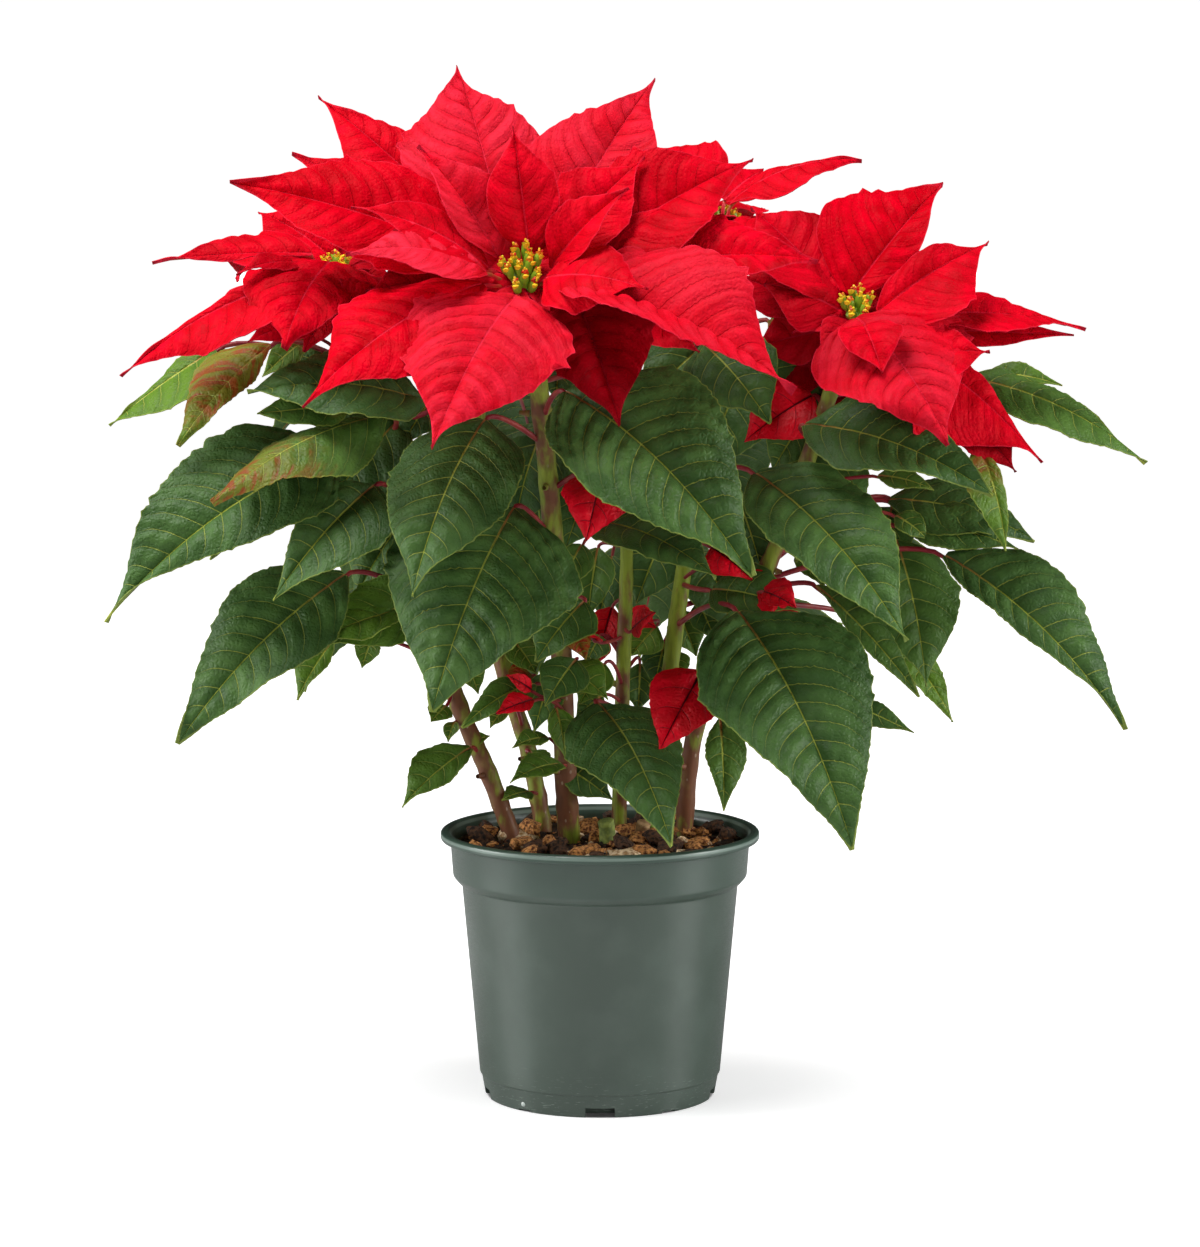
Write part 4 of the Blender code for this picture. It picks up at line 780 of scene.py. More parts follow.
def streaks(tree):
    """Uneven soft ridges that run beside the side veins; each blade has its own."""
    _, across, veins = values_of(tree, "growth")
    shade, _, _ = values_of(tree, "tint")
    stretched = [node(tree, "Math", value, by, **TIMES)
                 for value, by in ((veins, 2.4), (across, 1.3), (shade, 40))]
    return node(tree, "TexNoise", node(tree, "CombineXYZ", *stretched), 1, 3, 0.55)


def skin_relief(tree, side, rib, upper, distance, ridges):
    """Sunken veins on the upper face and raised ones below, over small cells and soft ridges."""
    cells = node(tree, "TexVoronoi", place_in(tree), 1 / (2.6 * MM), feature="DISTANCE_TO_EDGE")
    swell = node(tree, "MapRange", cells, 0, 0.35, 0, 1 if upper else -1)
    height = node(tree, "Math", node(tree, "Math", side, rib, **LARGER), -1.6 if upper else 2.0, **TIMES)
    height = node(tree, "Math", height, swell, **ADD)
    for form, strength in ((grain(tree, 1.2 * MM, 2), 0.5), (streaks(tree), ridges)):
        height = node(tree, "Math", height, node(tree, "Math", form, strength, **TIMES), **ADD)
    return node(tree, "Bump", 0.8, distance, None, height)


def leaf_material(name, colours, bracts, upper):
    """A leaf's skin, waxy above and duller below: green, brighter where young and red where flushed, with
    painted shade along the side veins.
    """
    made, tree = new_material(name)
    side, rib, margin = vein_lines(tree, 0.42)
    along, _, veins = values_of(tree, "growth")
    shade, youth, flush = values_of(tree, "tint")
    clouds = node(tree, "MapRange", grain(tree, 16 * MM), 0.35, 0.68)
    if upper:
        ground = layered(tree, colours.green, (clouds, 1, colours.deep))
    else:
        ground = layered(tree, colours.under, (clouds, 0.35, colours.green))
    # painted shade: a darker green in the valleys along the side veins
    painted_valley_shade = node(tree, "MapRange", node(tree, "Math", veins, 0.5, **TO_VEIN), 0, 0.34, 0.32, 0)
    # the midrib is reddish near the petiole
    warmth = node(tree, "MapRange", along, 0.05, 0.30, 0.7, 0)
    ground = layered(
        tree, ground, (shade, 0.5, colours.deep), (youth, 1, colours.young), (painted_valley_shade, 1, "#2A4620"),
        (side, 0.7, colours.vein), (rib, 1, layered(tree, colours.vein, (warmth, 1, "#A8403A"))),
        (margin, 0.4, colours.vein))
    # a flush above nought spreads from the base and one below nought from the tip, over this reach
    from_tip = node(tree, "Math", flush, 0, operation="LESS_THAN")
    amount = node(tree, "Math", flush, **SIZE_OF)
    away = node(tree, "Math", node(tree, "Math", from_tip, along, **MINUS), **SIZE_OF)
    reach = node(tree, "Math", node(tree, "Math", amount, 1.7, **TIMES), away, **MINUS)
    reach = node(tree, "Math", reach, node(tree, "Math", grain(tree, 7 * MM), 0.6, **TIMES), **ADD)
    reach = node(tree, "Math", reach, node(tree, "Math", side, 0.5, **TIMES), **MINUS)
    flushed = node(tree, "MapRange", reach, 0.25, 0.75)
    for low, high, least in ((0.02, 0.15, 0), (0.5, 0.9, 0.62)):
        share = node(tree, "MapRange", amount, low, high, least, 1)
        flushed = node(tree, "Math", flushed, share, **TIMES)
    veined = node(tree, "Math", node(tree, "Math", side, 0.6, **TIMES), rib, **LARGER)
    red = layered(tree, bracts.red, (clouds, 1, bracts.deep), (veined, 1, "#5E0010"))
    # a half flushed leaf is bronze: red streaks beside the side veins over olive
    streak = node(tree, "MapRange", streaks(tree), 0.42, 0.56)
    fully = node(tree, "MapRange", amount, 0.55, 0.95)
    bronze = layered(tree, "#9A1810", (streak, 1, "#7A7420"), (fully, 1, red))
    set_shader(
        tree, Base_Color=layered(tree, ground, (flushed, 1, bronze)), Roughness=0.5 if upper else 0.6,
        Specular_IOR_Level=0.24, Normal=skin_relief(tree, side, rib, upper, 0.26 * MM, 4))
    return made


def bract_material(name, colours, upper):
    """A bract's skin: dull velvety red, with grooved veins, a paler midrib, painted shade and a painted pink
    sheen, the bloom.
    """
    made, tree = new_material(name)
    side, rib, margin = vein_lines(tree, 0.45)
    along, _, veins = values_of(tree, "growth")
    shade, painted_shade, bloom = values_of(tree, "tint")
    clouds = node(tree, "MapRange", grain(tree, 14 * MM), 0.35, 0.70)
    uneven = node(tree, "MapRange", grain(tree, 26 * MM), 0.3, 0.62, 0.35, 1)
    # painted shade: darker in the valleys along the side veins and beside the soft ridges
    painted_valley_shade = node(tree, "MapRange", node(tree, "Math", veins, 0.5, **TO_VEIN), 0, 0.34, 0.35, 0)
    ridges = node(tree, "MapRange", streaks(tree), 0.46, 0.66, 0, 0.45)
    tip = node(tree, "MapRange", along, 0.95, 1, 0, 0.6)
    if upper:
        uneven_shade = node(tree, "MapRange", shade, 0.4, 0.95, 0.1, 0.5)
        lines = (node(tree, "Math", side, uneven_shade, **TIMES), 1, colours.groove)
    else:
        lines = (side, 0.5, colours.vein)
    # painted shade where other bracts shade this one, from the tone's first value, and a painted pink sheen,
    # the bloom, where a bract faces the light
    ground = layered(
        tree, colours.red if upper else colours.under, (clouds, 1, colours.deep), (shade, 0.35, colours.deep),
        (bloom, uneven, colours.bloom), (painted_valley_shade, 1, colours.deep), (ridges, 1, colours.deep), lines,
        (rib, 0.45, colours.vein), (margin, 0.30, colours.vein), (painted_shade, 1, "#6A0008"),
        (tip, 1, "#6A0010"))
    set_shader(
        tree, Base_Color=ground, Roughness=0.5, Specular_IOR_Level=0.03,
        Normal=skin_relief(tree, side, rib, upper, 0.18 * MM, 9))
    return made


def stalk_material(name, colour, other):
    """The smooth skin of a petiole or urn, a little shiny, with uneven patches of another colour."""
    made, tree = new_material(name)
    patches = node(tree, "MapRange", grain(tree, 9 * MM), 0.42, 0.70, 0, 0.6)
    set_shader(
        tree, Base_Color=layered(tree, colour, (patches, 1, other)), Roughness=0.42, Specular_IOR_Level=0.35,
        Normal=node(tree, "Bump", 0.8, 0.12 * MM, None, grain(tree, 0.8 * MM, 2)))
    return made


def bark_material(name, settings):
    """Smooth bark: mauve brown where old, green where young, mottled, with small pale pores."""
    made, tree = new_material(name)
    age, _, _ = values_of(tree, "tint")
    patches = grain(tree, 7 * MM, 3, (1, 1, 0.4))
    uneven = node(tree, "Math", node(tree, "Math", patches, 0.5, **MINUS), 2.2, **TIMES)
    old = node(tree, "MapRange", node(tree, "Math", age, uneven, **ADD), 0.25, 0.75)
    fibres = grain(tree, 2 * MM, 2, (1, 1, 0.14))
    brown = layered(
        tree, settings.bark, (node(tree, "MapRange", fibres, 0.4, 0.75, 0, 0.4), 1, "#523828"),
        (node(tree, "MapRange", grain(tree, 12 * MM), 0.5, 0.75, 0, 0.5), 1, "#96804A"))
    green = layered(
        tree, settings.green, (node(tree, "MapRange", fibres, 0.4, 0.7, 0, 0.5), 1, "#5E6C20"))
    # 190 cells in a metre: about one pore in 5 mm
    cells = node(tree, "TexVoronoi", place_in(tree, (1, 1, 0.6)), 190)
    pores = node(tree, "MapRange", cells, 0.08, 0.15, 0.5, 0)
    height = node(tree, "Math", node(tree, "Math", fibres, 0.5, **TIMES), pores, **ADD)
    set_shader(
        tree, Base_Color=layered(tree, green, (old, 1, brown), (pores, old, "#C0AC94")), Roughness=0.5,
        Specular_IOR_Level=0.28, Normal=node(tree, "Bump", 0.8, 0.25 * MM, None, height))
    return made


def speckled_material(name, colour, other, size, relief, roughness=0.9):
    """A dull rough surface in two mottled colours; the size and the relief are in millimetres."""
    made, tree = new_material(name)
    clouds = node(tree, "MapRange", grain(tree, size * MM, 5), 0.36, 0.66)
    set_shader(
        tree, Base_Color=layered(tree, colour, (clouds, 1, other)), Roughness=roughness,
        Normal=node(tree, "Bump", 0.8, relief * MM, None, grain(tree, size * MM * 0.5, 5)))
    return made


def plastic_material(name, settings):
    """Moulded plastic: satin, with a faint bloom of dust, fine scuffs, a greener rim and a painted highlight
    along the lip.
    """
    made, tree = new_material(name)
    place = node(tree, "TexCoord").node.outputs["Object"]
    height = node(tree, "SeparateXYZ", place).node.outputs["Z"]
    dust = node(tree, "MapRange", grain(tree, 30 * MM, 5), 0.40, 0.75, 0, 0.3)
    band = node(tree, "MapRange", height, BAND_BOTTOM - 3 * MM, BAND_BOTTOM + 1 * MM, 0, 0.4)
    rim = node(tree, "MapRange", height, RIM_HEIGHT - 7 * MM, RIM_HEIGHT - 4 * MM, 0, 0.7)
    # a painted highlight: a paler line where the lip's round edge catches the light just below the rim
    rising = node(tree, "MapRange", height, RIM_HEIGHT - 3.0 * MM, RIM_HEIGHT - 2.2 * MM)
    falling = node(tree, "MapRange", height, RIM_HEIGHT - 1.3 * MM, RIM_HEIGHT - 0.7 * MM, 0.6, 0)
    # scratches at the foot, and vertical scuffs that vary the gloss all over
    scratches = node(tree, "MapRange", grain(tree, 2.2 * MM, 6, (0.5, 0.5, 5)), 0.62, 0.68)
    foot = node(tree, "MapRange", height, 4 * MM, 30 * MM, 0.5, 0)
    ground = layered(
        tree, settings.plastic, (dust, 1, "#5C6B62"), (node(tree, "Math", band, rim, **LARGER), 1, "#30483C"),
        (rising, falling, "#8C9F94"), (scratches, foot, "#97A39B"))
    scuffs = grain(tree, 3 * MM, 4, (1, 1, 6))
    rough = node(tree, "MapRange", scuffs, 0.3, 0.75, 0.30, 0.40)
    skin = node(tree, "Math", grain(tree, 0.5 * MM, 2), node(tree, "Math", scuffs, 0.6, **TIMES), **ADD)
    set_shader(
        tree, Base_Color=ground, Roughness=rough, Specular_IOR_Level=0.75,
        Normal=node(tree, "Bump", 0.6, 0.05 * MM, None, skin))
    return made


def start_new():
    """Leave nothing chosen, so that the next tool works on its own object only."""
    bpy.ops.object.select_all(action="DESELECT")


def new_grid(name, columns, rows):
    """A flat grid one metre square; its X runs across and its Y along."""
    start_new()
    bpy.ops.mesh.primitive_grid_add(x_subdivisions=columns, y_subdivisions=rows, size=1)
    item = bpy.context.object
    item.name = name
    item.data.name = name
    return item


def points_of(item):
    """The object's vertices as an array."""
    flat = np.empty(len(item.data.vertices) * 3)
    item.data.vertices.foreach_get("co", flat)
    return flat.reshape(-1, 3)


def move_points(item, points):
    """Put the object's vertices at these points, in metres."""
    item.data.vertices.foreach_set("co", points.ravel())
    item.data.update()


def set_values(item, name, values):
    """Keep three values with each vertex, for the material."""
    layer = item.data.attributes.new(name, "FLOAT_VECTOR", "POINT")
    layer.data.foreach_set("vector", np.ascontiguousarray(values, dtype=np.float32).ravel())


def joined(items, name):
    """Join the objects into one of that name."""
    start_new()
    for item in items:
        item.select_set(True)
    bpy.context.view_layer.objects.active = items[0]
    if len(items) > 1:
        bpy.ops.object.join()
    made = bpy.context.object
    made.name = name
    made.data.name = name
    return made


def apply_modifier(item, kind, **settings):
    """Add a modifier with these settings and apply it."""
    start_new()
    item.select_set(True)
    bpy.context.view_layer.objects.active = item
    step = item.modifiers.new(kind.title(), kind)
    for name, value in settings.items():
        setattr(step, name, value)
    bpy.ops.object.modifier_apply(modifier=step.name)


def smoothed(item, degrees):
    """Shade smooth apart from edges sharper than this."""
    start_new()
    item.select_set(True)
    bpy.context.view_layer.objects.active = item
    bpy.ops.object.shade_smooth_by_angle(angle=math.radians(degrees))


def dress(piece, slot, *nodes):
    """Put the piece under the root body and hide the solids that it stands for; the slot, its finish, is not
    used.
    """
    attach(piece, "root")
    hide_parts(*nodes)


def close_up(item):
    """Weld the seam of a rolled grid, cap its open ends and turn its faces outward."""
    work = bmesh.new()
    work.from_mesh(item.data)
    bmesh.ops.remove_doubles(work, verts=work.verts, dist=WELD_DISTANCE)
    open_edges = [edge for edge in work.edges if edge.is_boundary]
    bmesh.ops.holes_fill(work, edges=open_edges, sides=0)
    bmesh.ops.recalc_face_normals(work, faces=work.faces)
    work.to_mesh(item.data)
    work.free()


def unit(vectors):
    """Each row brought to a length of one."""
    return vectors / np.linalg.norm(vectors, axis=1, keepdims=True)


def tube(path, radii, sides, lobes=0, lobe_depth=0.0, age=None):
    """A closed tube through points in millimetres, its section round or lobed, kept from twisting."""
    path = np.array([tuple(point) for point in path])
    radii = np.broadcast_to(np.asarray(radii, float), len(path))
    along = unit(np.gradient(path, axis=0))
    across = np.empty_like(path)
    side = np.array(Vector(along[0]).orthogonal())
    for index, heading in enumerate(along):
        side = side - heading * side.dot(heading)
        side = side / np.linalg.norm(side)
        across[index] = side
    other = np.cross(along, across)
    item = new_grid("tube", sides, len(path) - 1)
    places = points_of(item)
    ring = np.rint((places[:, 1] + 0.5) * (len(path) - 1)).astype(int)
    turn = places[:, 0] * 2 * np.pi
    reach = radii[ring] * (1 + lobe_depth * np.cos(turn * lobes))
    spoke = across[ring] * np.cos(turn)[:, None] + other[ring] * np.sin(turn)[:, None]
    move_points(item, (path[ring] + spoke * reach[:, None]) * MM)
    if age is not None:
        value = np.asarray(age)[ring]
        set_values(item, "tint", np.stack([value, value, value], axis=1))
    close_up(item)
    return item


def smooth_path(points, steps):
    """A Catmull-Rom curve through the points, with this many steps between each two."""
    path = []
    for index in range(len(points) - 1):
        before = points[max(index - 1, 0)]
        start = points[index]
        end = points[index + 1]
        after = points[min(index + 2, len(points) - 1)]
        for step in range(steps):
            t = step / steps
            path.append(0.5 * (2 * start + (end - before) * t
                               + (2 * before - 5 * start + 4 * end - after) * t ** 2
                               + (3 * start - before - 3 * end + after) * t ** 3))
    path.append(points[-1])
    return path


def point_at_height(path, height):
    """Where the path crosses this height."""
    for low, high in zip(path, path[1:]):
        if low.z <= height <= high.z:
            return low.lerp(high, (height - low.z) / (high.z - low.z))
    return path[-1]


def stem_path(name, steps=2):
    """The middle line of a stem, straight up through the soil and then in a smooth curve."""
    points = [Vector(point) for point in STEMS[name].line]
    return [points[0]] + smooth_path(points[1:], steps)


def blade_frame(blade):
    """The blade's length, its direction, the way across it and the way that it faces."""
    chord = blade.tip - blade.base
    along = chord.normalized()
    face = Vector(blade.face)
    face = (face - along * face.dot(along)).normalized()
    return chord.length, along, along.cross(face), face


def midrib(blade, t):
    """Points and directions along the midrib, a quadratic Bezier curve, at these shares of it."""
    length, along, _, face = blade_frame(blade)
    base = np.array(blade.base)
    tip = np.array(blade.tip)
    top = base + np.array(along) * length * 0.5 + np.array(face) * length * blade.arch * 2
    t = np.asarray(t, float)[:, None]
    points = base * (1 - t) ** 2 + top * 2 * t * (1 - t) + tip * t ** 2
    return points, unit((top - base) * (1 - t) + (tip - top) * t)


def outline_share(form, t):
    """Half-width at these shares of the length: a smooth curve through the outline's points."""
    knots = np.array(OUTLINES[form], float)
    slopes = np.gradient(knots[:, 1], knots[:, 0])
    index = np.clip(np.searchsorted(knots[:, 0], t, side="right") - 1, 0, len(knots) - 2)
    gap = knots[index + 1, 0] - knots[index, 0]
    u = (t - knots[index, 0]) / gap
    start = knots[index, 1] * (2 * u ** 3 - 3 * u ** 2 + 1) + slopes[index] * gap * (u ** 3 - 2 * u ** 2 + u)
    end = knots[index + 1, 1] * (3 * u ** 2 - 2 * u ** 3) + slopes[index + 1] * gap * (u ** 3 - u ** 2)
    return np.maximum(start + end, THINNEST_SHARE)


def blade_sheet(blade, phase, tint, edge, settings):
    """A thin blade, folded at the midrib, arched, waved, quilted between its veins and toothed.

    The phase shifts every wave, so that no two blades are alike. The edge is the pucker, the reach of
    the lobes and the reach of the saw teeth. In the sums, s runs from -1 at the left margin to 1 at the
    right one, t from 0 at the base to 1 at the tip, and sines take shares of the length or millimetres."""
    pucker, lobe_reach, saw_reach = edge
    length, _, across, _ = blade_frame(blade)
    rows = int(np.clip(round(length / (settings.row_length / MM)), *ROW_LIMITS))
    columns = 2 * int(np.clip(round(blade.width / (settings.column_width / MM) / 2), *COLUMN_LIMITS))
    item = new_grid("blade", columns, rows)
    places = points_of(item)
    s = places[:, 0] * 2
    t = places[:, 1] + 0.5
    side = np.abs(s)
    hand = np.sign(s)
    middle, heading = midrib(blade, t)
    normal = unit(np.cross(np.array(across), heading))
    # half-width, with a lobe at the end of each side vein and small teeth all along
    pairs = max(FEWEST_VEINS, round(length / (settings.vein_spacing / MM)))
    lean = 0.35 * hand * math.sin(phase)
    left, right, left_tip, right_tip = blade.halves if len(blade.halves) == 4 else blade.halves * 2
    reach = np.where(s < 0, left + (left_tip - left) * t, right + (right_tip - right) * t)
    half = outline_share(blade.form, t) * blade.width / 2 * reach
    at_edge = pairs * (t - half * 0.95 / length) + lean
    tooth = at_edge - np.floor(at_edge)
    tooth = np.where(tooth < LOBE_RISE, (tooth / LOBE_RISE) ** 1.6, (1 - tooth) / LOBE_FALL)
    uneven = 0.5 + 0.5 * np.sin(np.floor(at_edge) * 5.1 + hand * 1.7 + phase * 3)
    window = np.clip((t - 0.10) / 0.16, 0, 1) * np.clip((0.86 - t) / 0.20, 0, 1)
    half = half * (1 + lobe_reach * tooth * uneven ** 3 * window * side ** 4)
    step = length * t * 1.7
    saw = np.sin(step + 1.6 * np.sin(step * 0.23 + phase) + hand) * saw_reach / MM
    half = half + saw * side ** 6 * np.clip(half / 8, 0, 1)
    veins = pairs * (t - side * half * (0.5 + 0.45 * side ** 3) / length) + lean * side
    # height over the flat blade, as waves of the whole blade, its margin and the skin between veins
    fold = math.radians(blade.fold)
    wave = WAVE_HEIGHT * blade.width * s * s * np.sin(10 * t + phase + s) * np.minimum(1, t * 4)
    ripple = settings.ripple * blade.width * side ** 4 * np.sin(26 * t + phase * 2 + 2 * s)
    between = np.abs(np.sin(np.pi * veins)) ** 0.75
    cells = 1 + 0.22 * np.sin(side * half * 0.8 + np.floor(veins) * 2.1)
    body = np.clip(half / (blade.width * 0.3), 0, 1)
    swell = pucker * blade.width * between * cells * body * np.clip(side * 5, 0, 1) * (1 - 0.45 * side)
    roll = settings.roll * blade.width * side * np.sin(9 * t + 2.2 * s + phase * 1.7) * body
    crown = settings.crown * blade.width * 2 * side * (1 - side) * body
    groove = -MIDRIB_GROOVE * np.exp(-(side * half / GROOVE_WIDTH) ** 2) * body
    lift = side * half * math.sin(fold) + wave + ripple + swell + roll + crown + groove
    point = middle + np.outer(s * half * math.cos(fold), across) + normal * lift[:, None]
    move_points(item, point * MM)
    # what the materials read: place on the blade, distances in millimetres, and colouring
    spacing = np.full_like(t, length / pairs)
    set_values(item, "growth", np.stack([t, s, veins], axis=1))
    set_values(item, "size", np.stack([side * half, spacing, half], axis=1))
    set_values(item, "tint", np.tile(tint, (len(t), 1)))
    return item


def stalk(blade, root, control, radius):
    """The petiole, which runs on under the blade as its midrib and fades out towards the tip."""
    path = []
    for step in range(STALK_STEPS):
        t = step / STALK_STEPS
        path.append(np.array(root * (1 - t) ** 2 + control * 2 * t * (1 - t) + blade.base * t ** 2))
    radii = list(np.linspace(radius * 1.15, radius, STALK_STEPS))
    shares = np.linspace(0, RIB_END, 16)
    points, headings = midrib(blade, shares)
    _, _, across, _ = blade_frame(blade)
    normals = unit(np.cross(np.array(across), headings))
    rib_radii = radius * (1 - shares / RIB_END) ** 0.8 * 0.75 + 0.12
    path += list(points - normals * (MIDRIB_GROOVE + rib_radii * 0.95)[:, None])
    radii += list(rib_radii)
    return tube(path, radii, 8)


def thin_solid(sheets, name, thickness, upper, under):
    """Join the blades and give them their thickness, with another finish on the underside."""
    piece = joined(sheets, name)
    piece.data.materials.clear()
    piece.data.materials.append(upper)
    piece.data.materials.append(under)
    apply_modifier(piece, "SOLIDIFY", thickness=thickness, offset=0.0, material_offset=1,
                   material_offset_rim=0)
    smoothed(piece, 55)
    return piece


def tint_of(index, first, second):
    """How dark a blade is, by its place among the others, and the two values of its tone."""
    return np.array([0.5 + 0.5 * math.sin(index * 4.3 + 1), first, second])


def placed_rows(name, shown, hidden, behind):
    """The rows of three tables under this name, each with the function that places its points."""
    return ([(seen, row) for row in shown.get(name, ())] + [(spot, row) for row in hidden.get(name, ())]
            + [(seen, row) for row in behind.get(name, ())])


def finish_blades(name, word, sheets, stalks, settings, finishes, slot):
    """Make one piece of the blades and one of their stalks, and let both stand for the solid."""
    upper, under, stalk_finish = finishes
    kind, place = name.split("_", 1)
    blades = thin_solid(sheets, f"{word}_{place}", settings.thickness, upper, under)
    dress(blades, slot, name)
    piece = joined(stalks, {"stem": "petioles", "bloom": "bract_stalks"}[kind] + "_" + place)
    piece.data.materials.append(stalk_finish)
    smoothed(piece, 60)
    dress(piece, slot, name)


def leaf_pieces(name, settings, finishes):
    """The blades and petioles of one stem's leaves."""
    path = stem_path(name, 8)
    sheets = []
    stalks = []
    edge = (settings.leaf_pucker, settings.teeth, settings.saw)
    rows = placed_rows(name, LEAVES, HIDDEN_LEAVES, SHOOT_LEAVES)
    for index, (place, (height, base, tip, *form)) in enumerate(rows):
        blade = Blade(place(*base), place(*tip), *form)
        root = point_at_height(path, height)
        _, headings = midrib(blade, [0.0])
        control = blade.base - Vector(headings[0]) * (blade.base - root).length * 0.30
        radius = PETIOLE_RADIUS if blade.width > WIDE_LEAF else SMALL_PETIOLE_RADIUS
        tint = tint_of(index, *(blade.tone or LEAF_TONE))
        sheets.append(blade_sheet(blade, index * TURN, tint, edge, settings))
        stalks.append(stalk(blade, root, control, radius))
    finish_blades(name, "leaves", sheets, stalks, settings, finishes, "leaf")


def bloom_hub(name):
    """The hub's middle line, from the stem's flat top to the seat of the cyathia, and its facing."""
    path = stem_path(name.replace("bloom", "stem"))
    along = (path[-1] - path[-2]).normalized()
    facing = Vector(BLOOMS[name].facing).normalized()
    foot = path[-1] + along * GAP
    middle = foot + along * HUB_HEIGHT * 0.4
    return [foot, middle, middle + facing * HUB_HEIGHT * 0.6], facing


def bract_pieces(name, settings, finishes):
    """The bracts of one flower head, with their stalks and the hub that they grow on."""
    line, facing = bloom_hub(name)
    stem_radius = STEMS[name.replace("bloom", "stem")].top_radius
    sheets = []
    stalks = [tube(smooth_path(line, 5), np.linspace(stem_radius, HUB_RADIUS, 11), 20, 5, 0.05)]
    count = len(placed_rows(name, BRACTS, HIDDEN_BRACTS, {}))
    rows = placed_rows(name, BRACTS, HIDDEN_BRACTS, EXTRA_BRACTS)
    for index, (place, (base, tip, *form)) in enumerate(rows):
        blade = Blade(place(*base), place(*tip), *form)
        root = line[1].lerp(line[2], 0.1 + 0.5 * min(index / count, 1))
        outward = blade.base - root
        outward = (outward - facing * outward.dot(facing)).normalized()
        control = root + outward * (HUB_RADIUS + 4)
        edge = (settings.bract_pucker, settings.teeth if blade.form == "small" else settings.lobes, 0.0)
        tint = tint_of(index, *(blade.tone or BRACT_TONE))
        sheets.append(blade_sheet(blade, index * TURN, tint, edge, settings))
        stalks.append(stalk(blade, root, control, BRACT_STALK_RADIUS))
    across = facing.orthogonal().normalized()
    other = facing.cross(across)
    for index in range(settings.centre_bracts):
        turn = index * 2 * math.pi / settings.centre_bracts + 0.3
        outward = across * math.cos(turn) + other * math.sin(turn)
        base = line[2] - facing * (1.5 + 1.5 * (index % 2)) + outward * (HUB_RADIUS - 1)
        tip = base + outward * (CENTRE_BRACT_LENGTH + 4 * math.sin(turn * 3)) - facing * 3
        small = Blade(base, tip, CENTRE_BRACT_WIDTH, facing, 0.14, 10, "small")
        edge = (settings.bract_pucker, 0.0, 0.0)
        sheets.append(blade_sheet(small, turn * 3, np.array(CENTRE_BRACT_TINT), edge, settings))
    finish_blades(name, "bracts", sheets, stalks, settings, finishes, "bract")


def with_material(item, finish):
    """Give the object its one material."""
    item.data.materials.clear()
    item.data.materials.append(finish)
    return item


def urn(foot, head, outward, finishes, index):
    """One cyathium: a ribbed green urn, its fringed mouth, a yellow gland and the stamens."""
    green, red, yellow, orange = finishes
    axis = head - foot
    up = axis.normalized()
    parts = [with_material(tube([foot + axis * share for share, _ in URN_FORM],
                                [radius for _, radius in URN_FORM], 16, 5, 0.05), green)]
    lips = (yellow, orange, yellow, red)[index % 4]
    parts.append(with_material(tube([head + up * rise for rise, _ in MOUTH_FORM],
                                    [radius for _, radius in MOUTH_FORM], 20, 5, 0.20), lips))
    gland_foot = foot + axis * 0.80 + outward * 1.4
    gland = [gland_foot + outward * away + up * rise for away, rise, _ in GLAND_FORM]
    parts.append(with_material(tube(gland, [radius for _, _, radius in GLAND_FORM], 12, 2, 0.22), yellow))
    side = outward.cross(up)
    for stamen, finish in enumerate((yellow, red, orange, yellow)):
        turn = stamen * TURN + index
        lean = outward * math.cos(turn) + side * math.sin(turn)
        start = head + lean * 0.4
        end = head + up * (1.9 + 0.6 * math.sin(turn * 3)) + lean * 1.1
        line = [start, start.lerp(end, 0.5), start.lerp(end, 0.65), end]
        parts.append(with_material(tube(line, [0.3, 0.3, 0.75, 0.5], 6), finish))
    return parts


def cyathia_piece(name, finishes):
    """The cluster of cyathia on one flower head."""
    _, count, height, reach = BLOOMS[name]
    line, facing = bloom_hub(name)
    seat = line[-1] + facing * GAP
    button = [seat, seat + facing * BUTTON_HEIGHT * 0.6, seat + facing * BUTTON_HEIGHT]
    radii = [HUB_RADIUS, HUB_RADIUS, HUB_RADIUS * 0.7]
    parts = [with_material(tube(button, radii, 20, 5, 0.06), finishes[0])]
    across = facing.orthogonal().normalized()
    other = facing.cross(across)
    scale = height / CLUSTER_HEIGHT
    for index in range(count + 2):
        lean = across * math.cos(index * TURN) + other * math.sin(index * TURN)
        spread = math.sqrt((index + 0.4) / (count + 2))
        # urns near the rim of the cluster stand lower and lean outward
        middle = seat + facing * URN_LIFT * scale * (1.25 - 0.6 * spread) + lean * spread * (reach + 1)
        middle += Vector((0, 0, scale * (2.2 + 2.6 * lean.z * spread + 0.8 * math.sin(index * 2.9))))
        up = (facing * 0.5 + Vector((0, 0, 0.75)) + lean * 0.5 * spread).normalized()
        foot = middle - up * URN_LENGTH * scale * 0.55
        head = middle + up * URN_LENGTH * scale * 0.45
        outward = (facing + lean * 0.6 - up * (facing + lean * 0.6).dot(up)).normalized()
        stem = [seat + lean * 2, foot.lerp(seat, 0.4), foot]
        parts.append(with_material(tube(stem, [1.0, 0.9, 0.8], 8), finishes[0]))
        parts += urn(foot, head, outward, finishes, index)
    piece = joined(parts, name.replace("bloom", "urns"))
    smoothed(piece, 50)
    dress(piece, "cyathium", name.replace("bloom", "cyathia"))


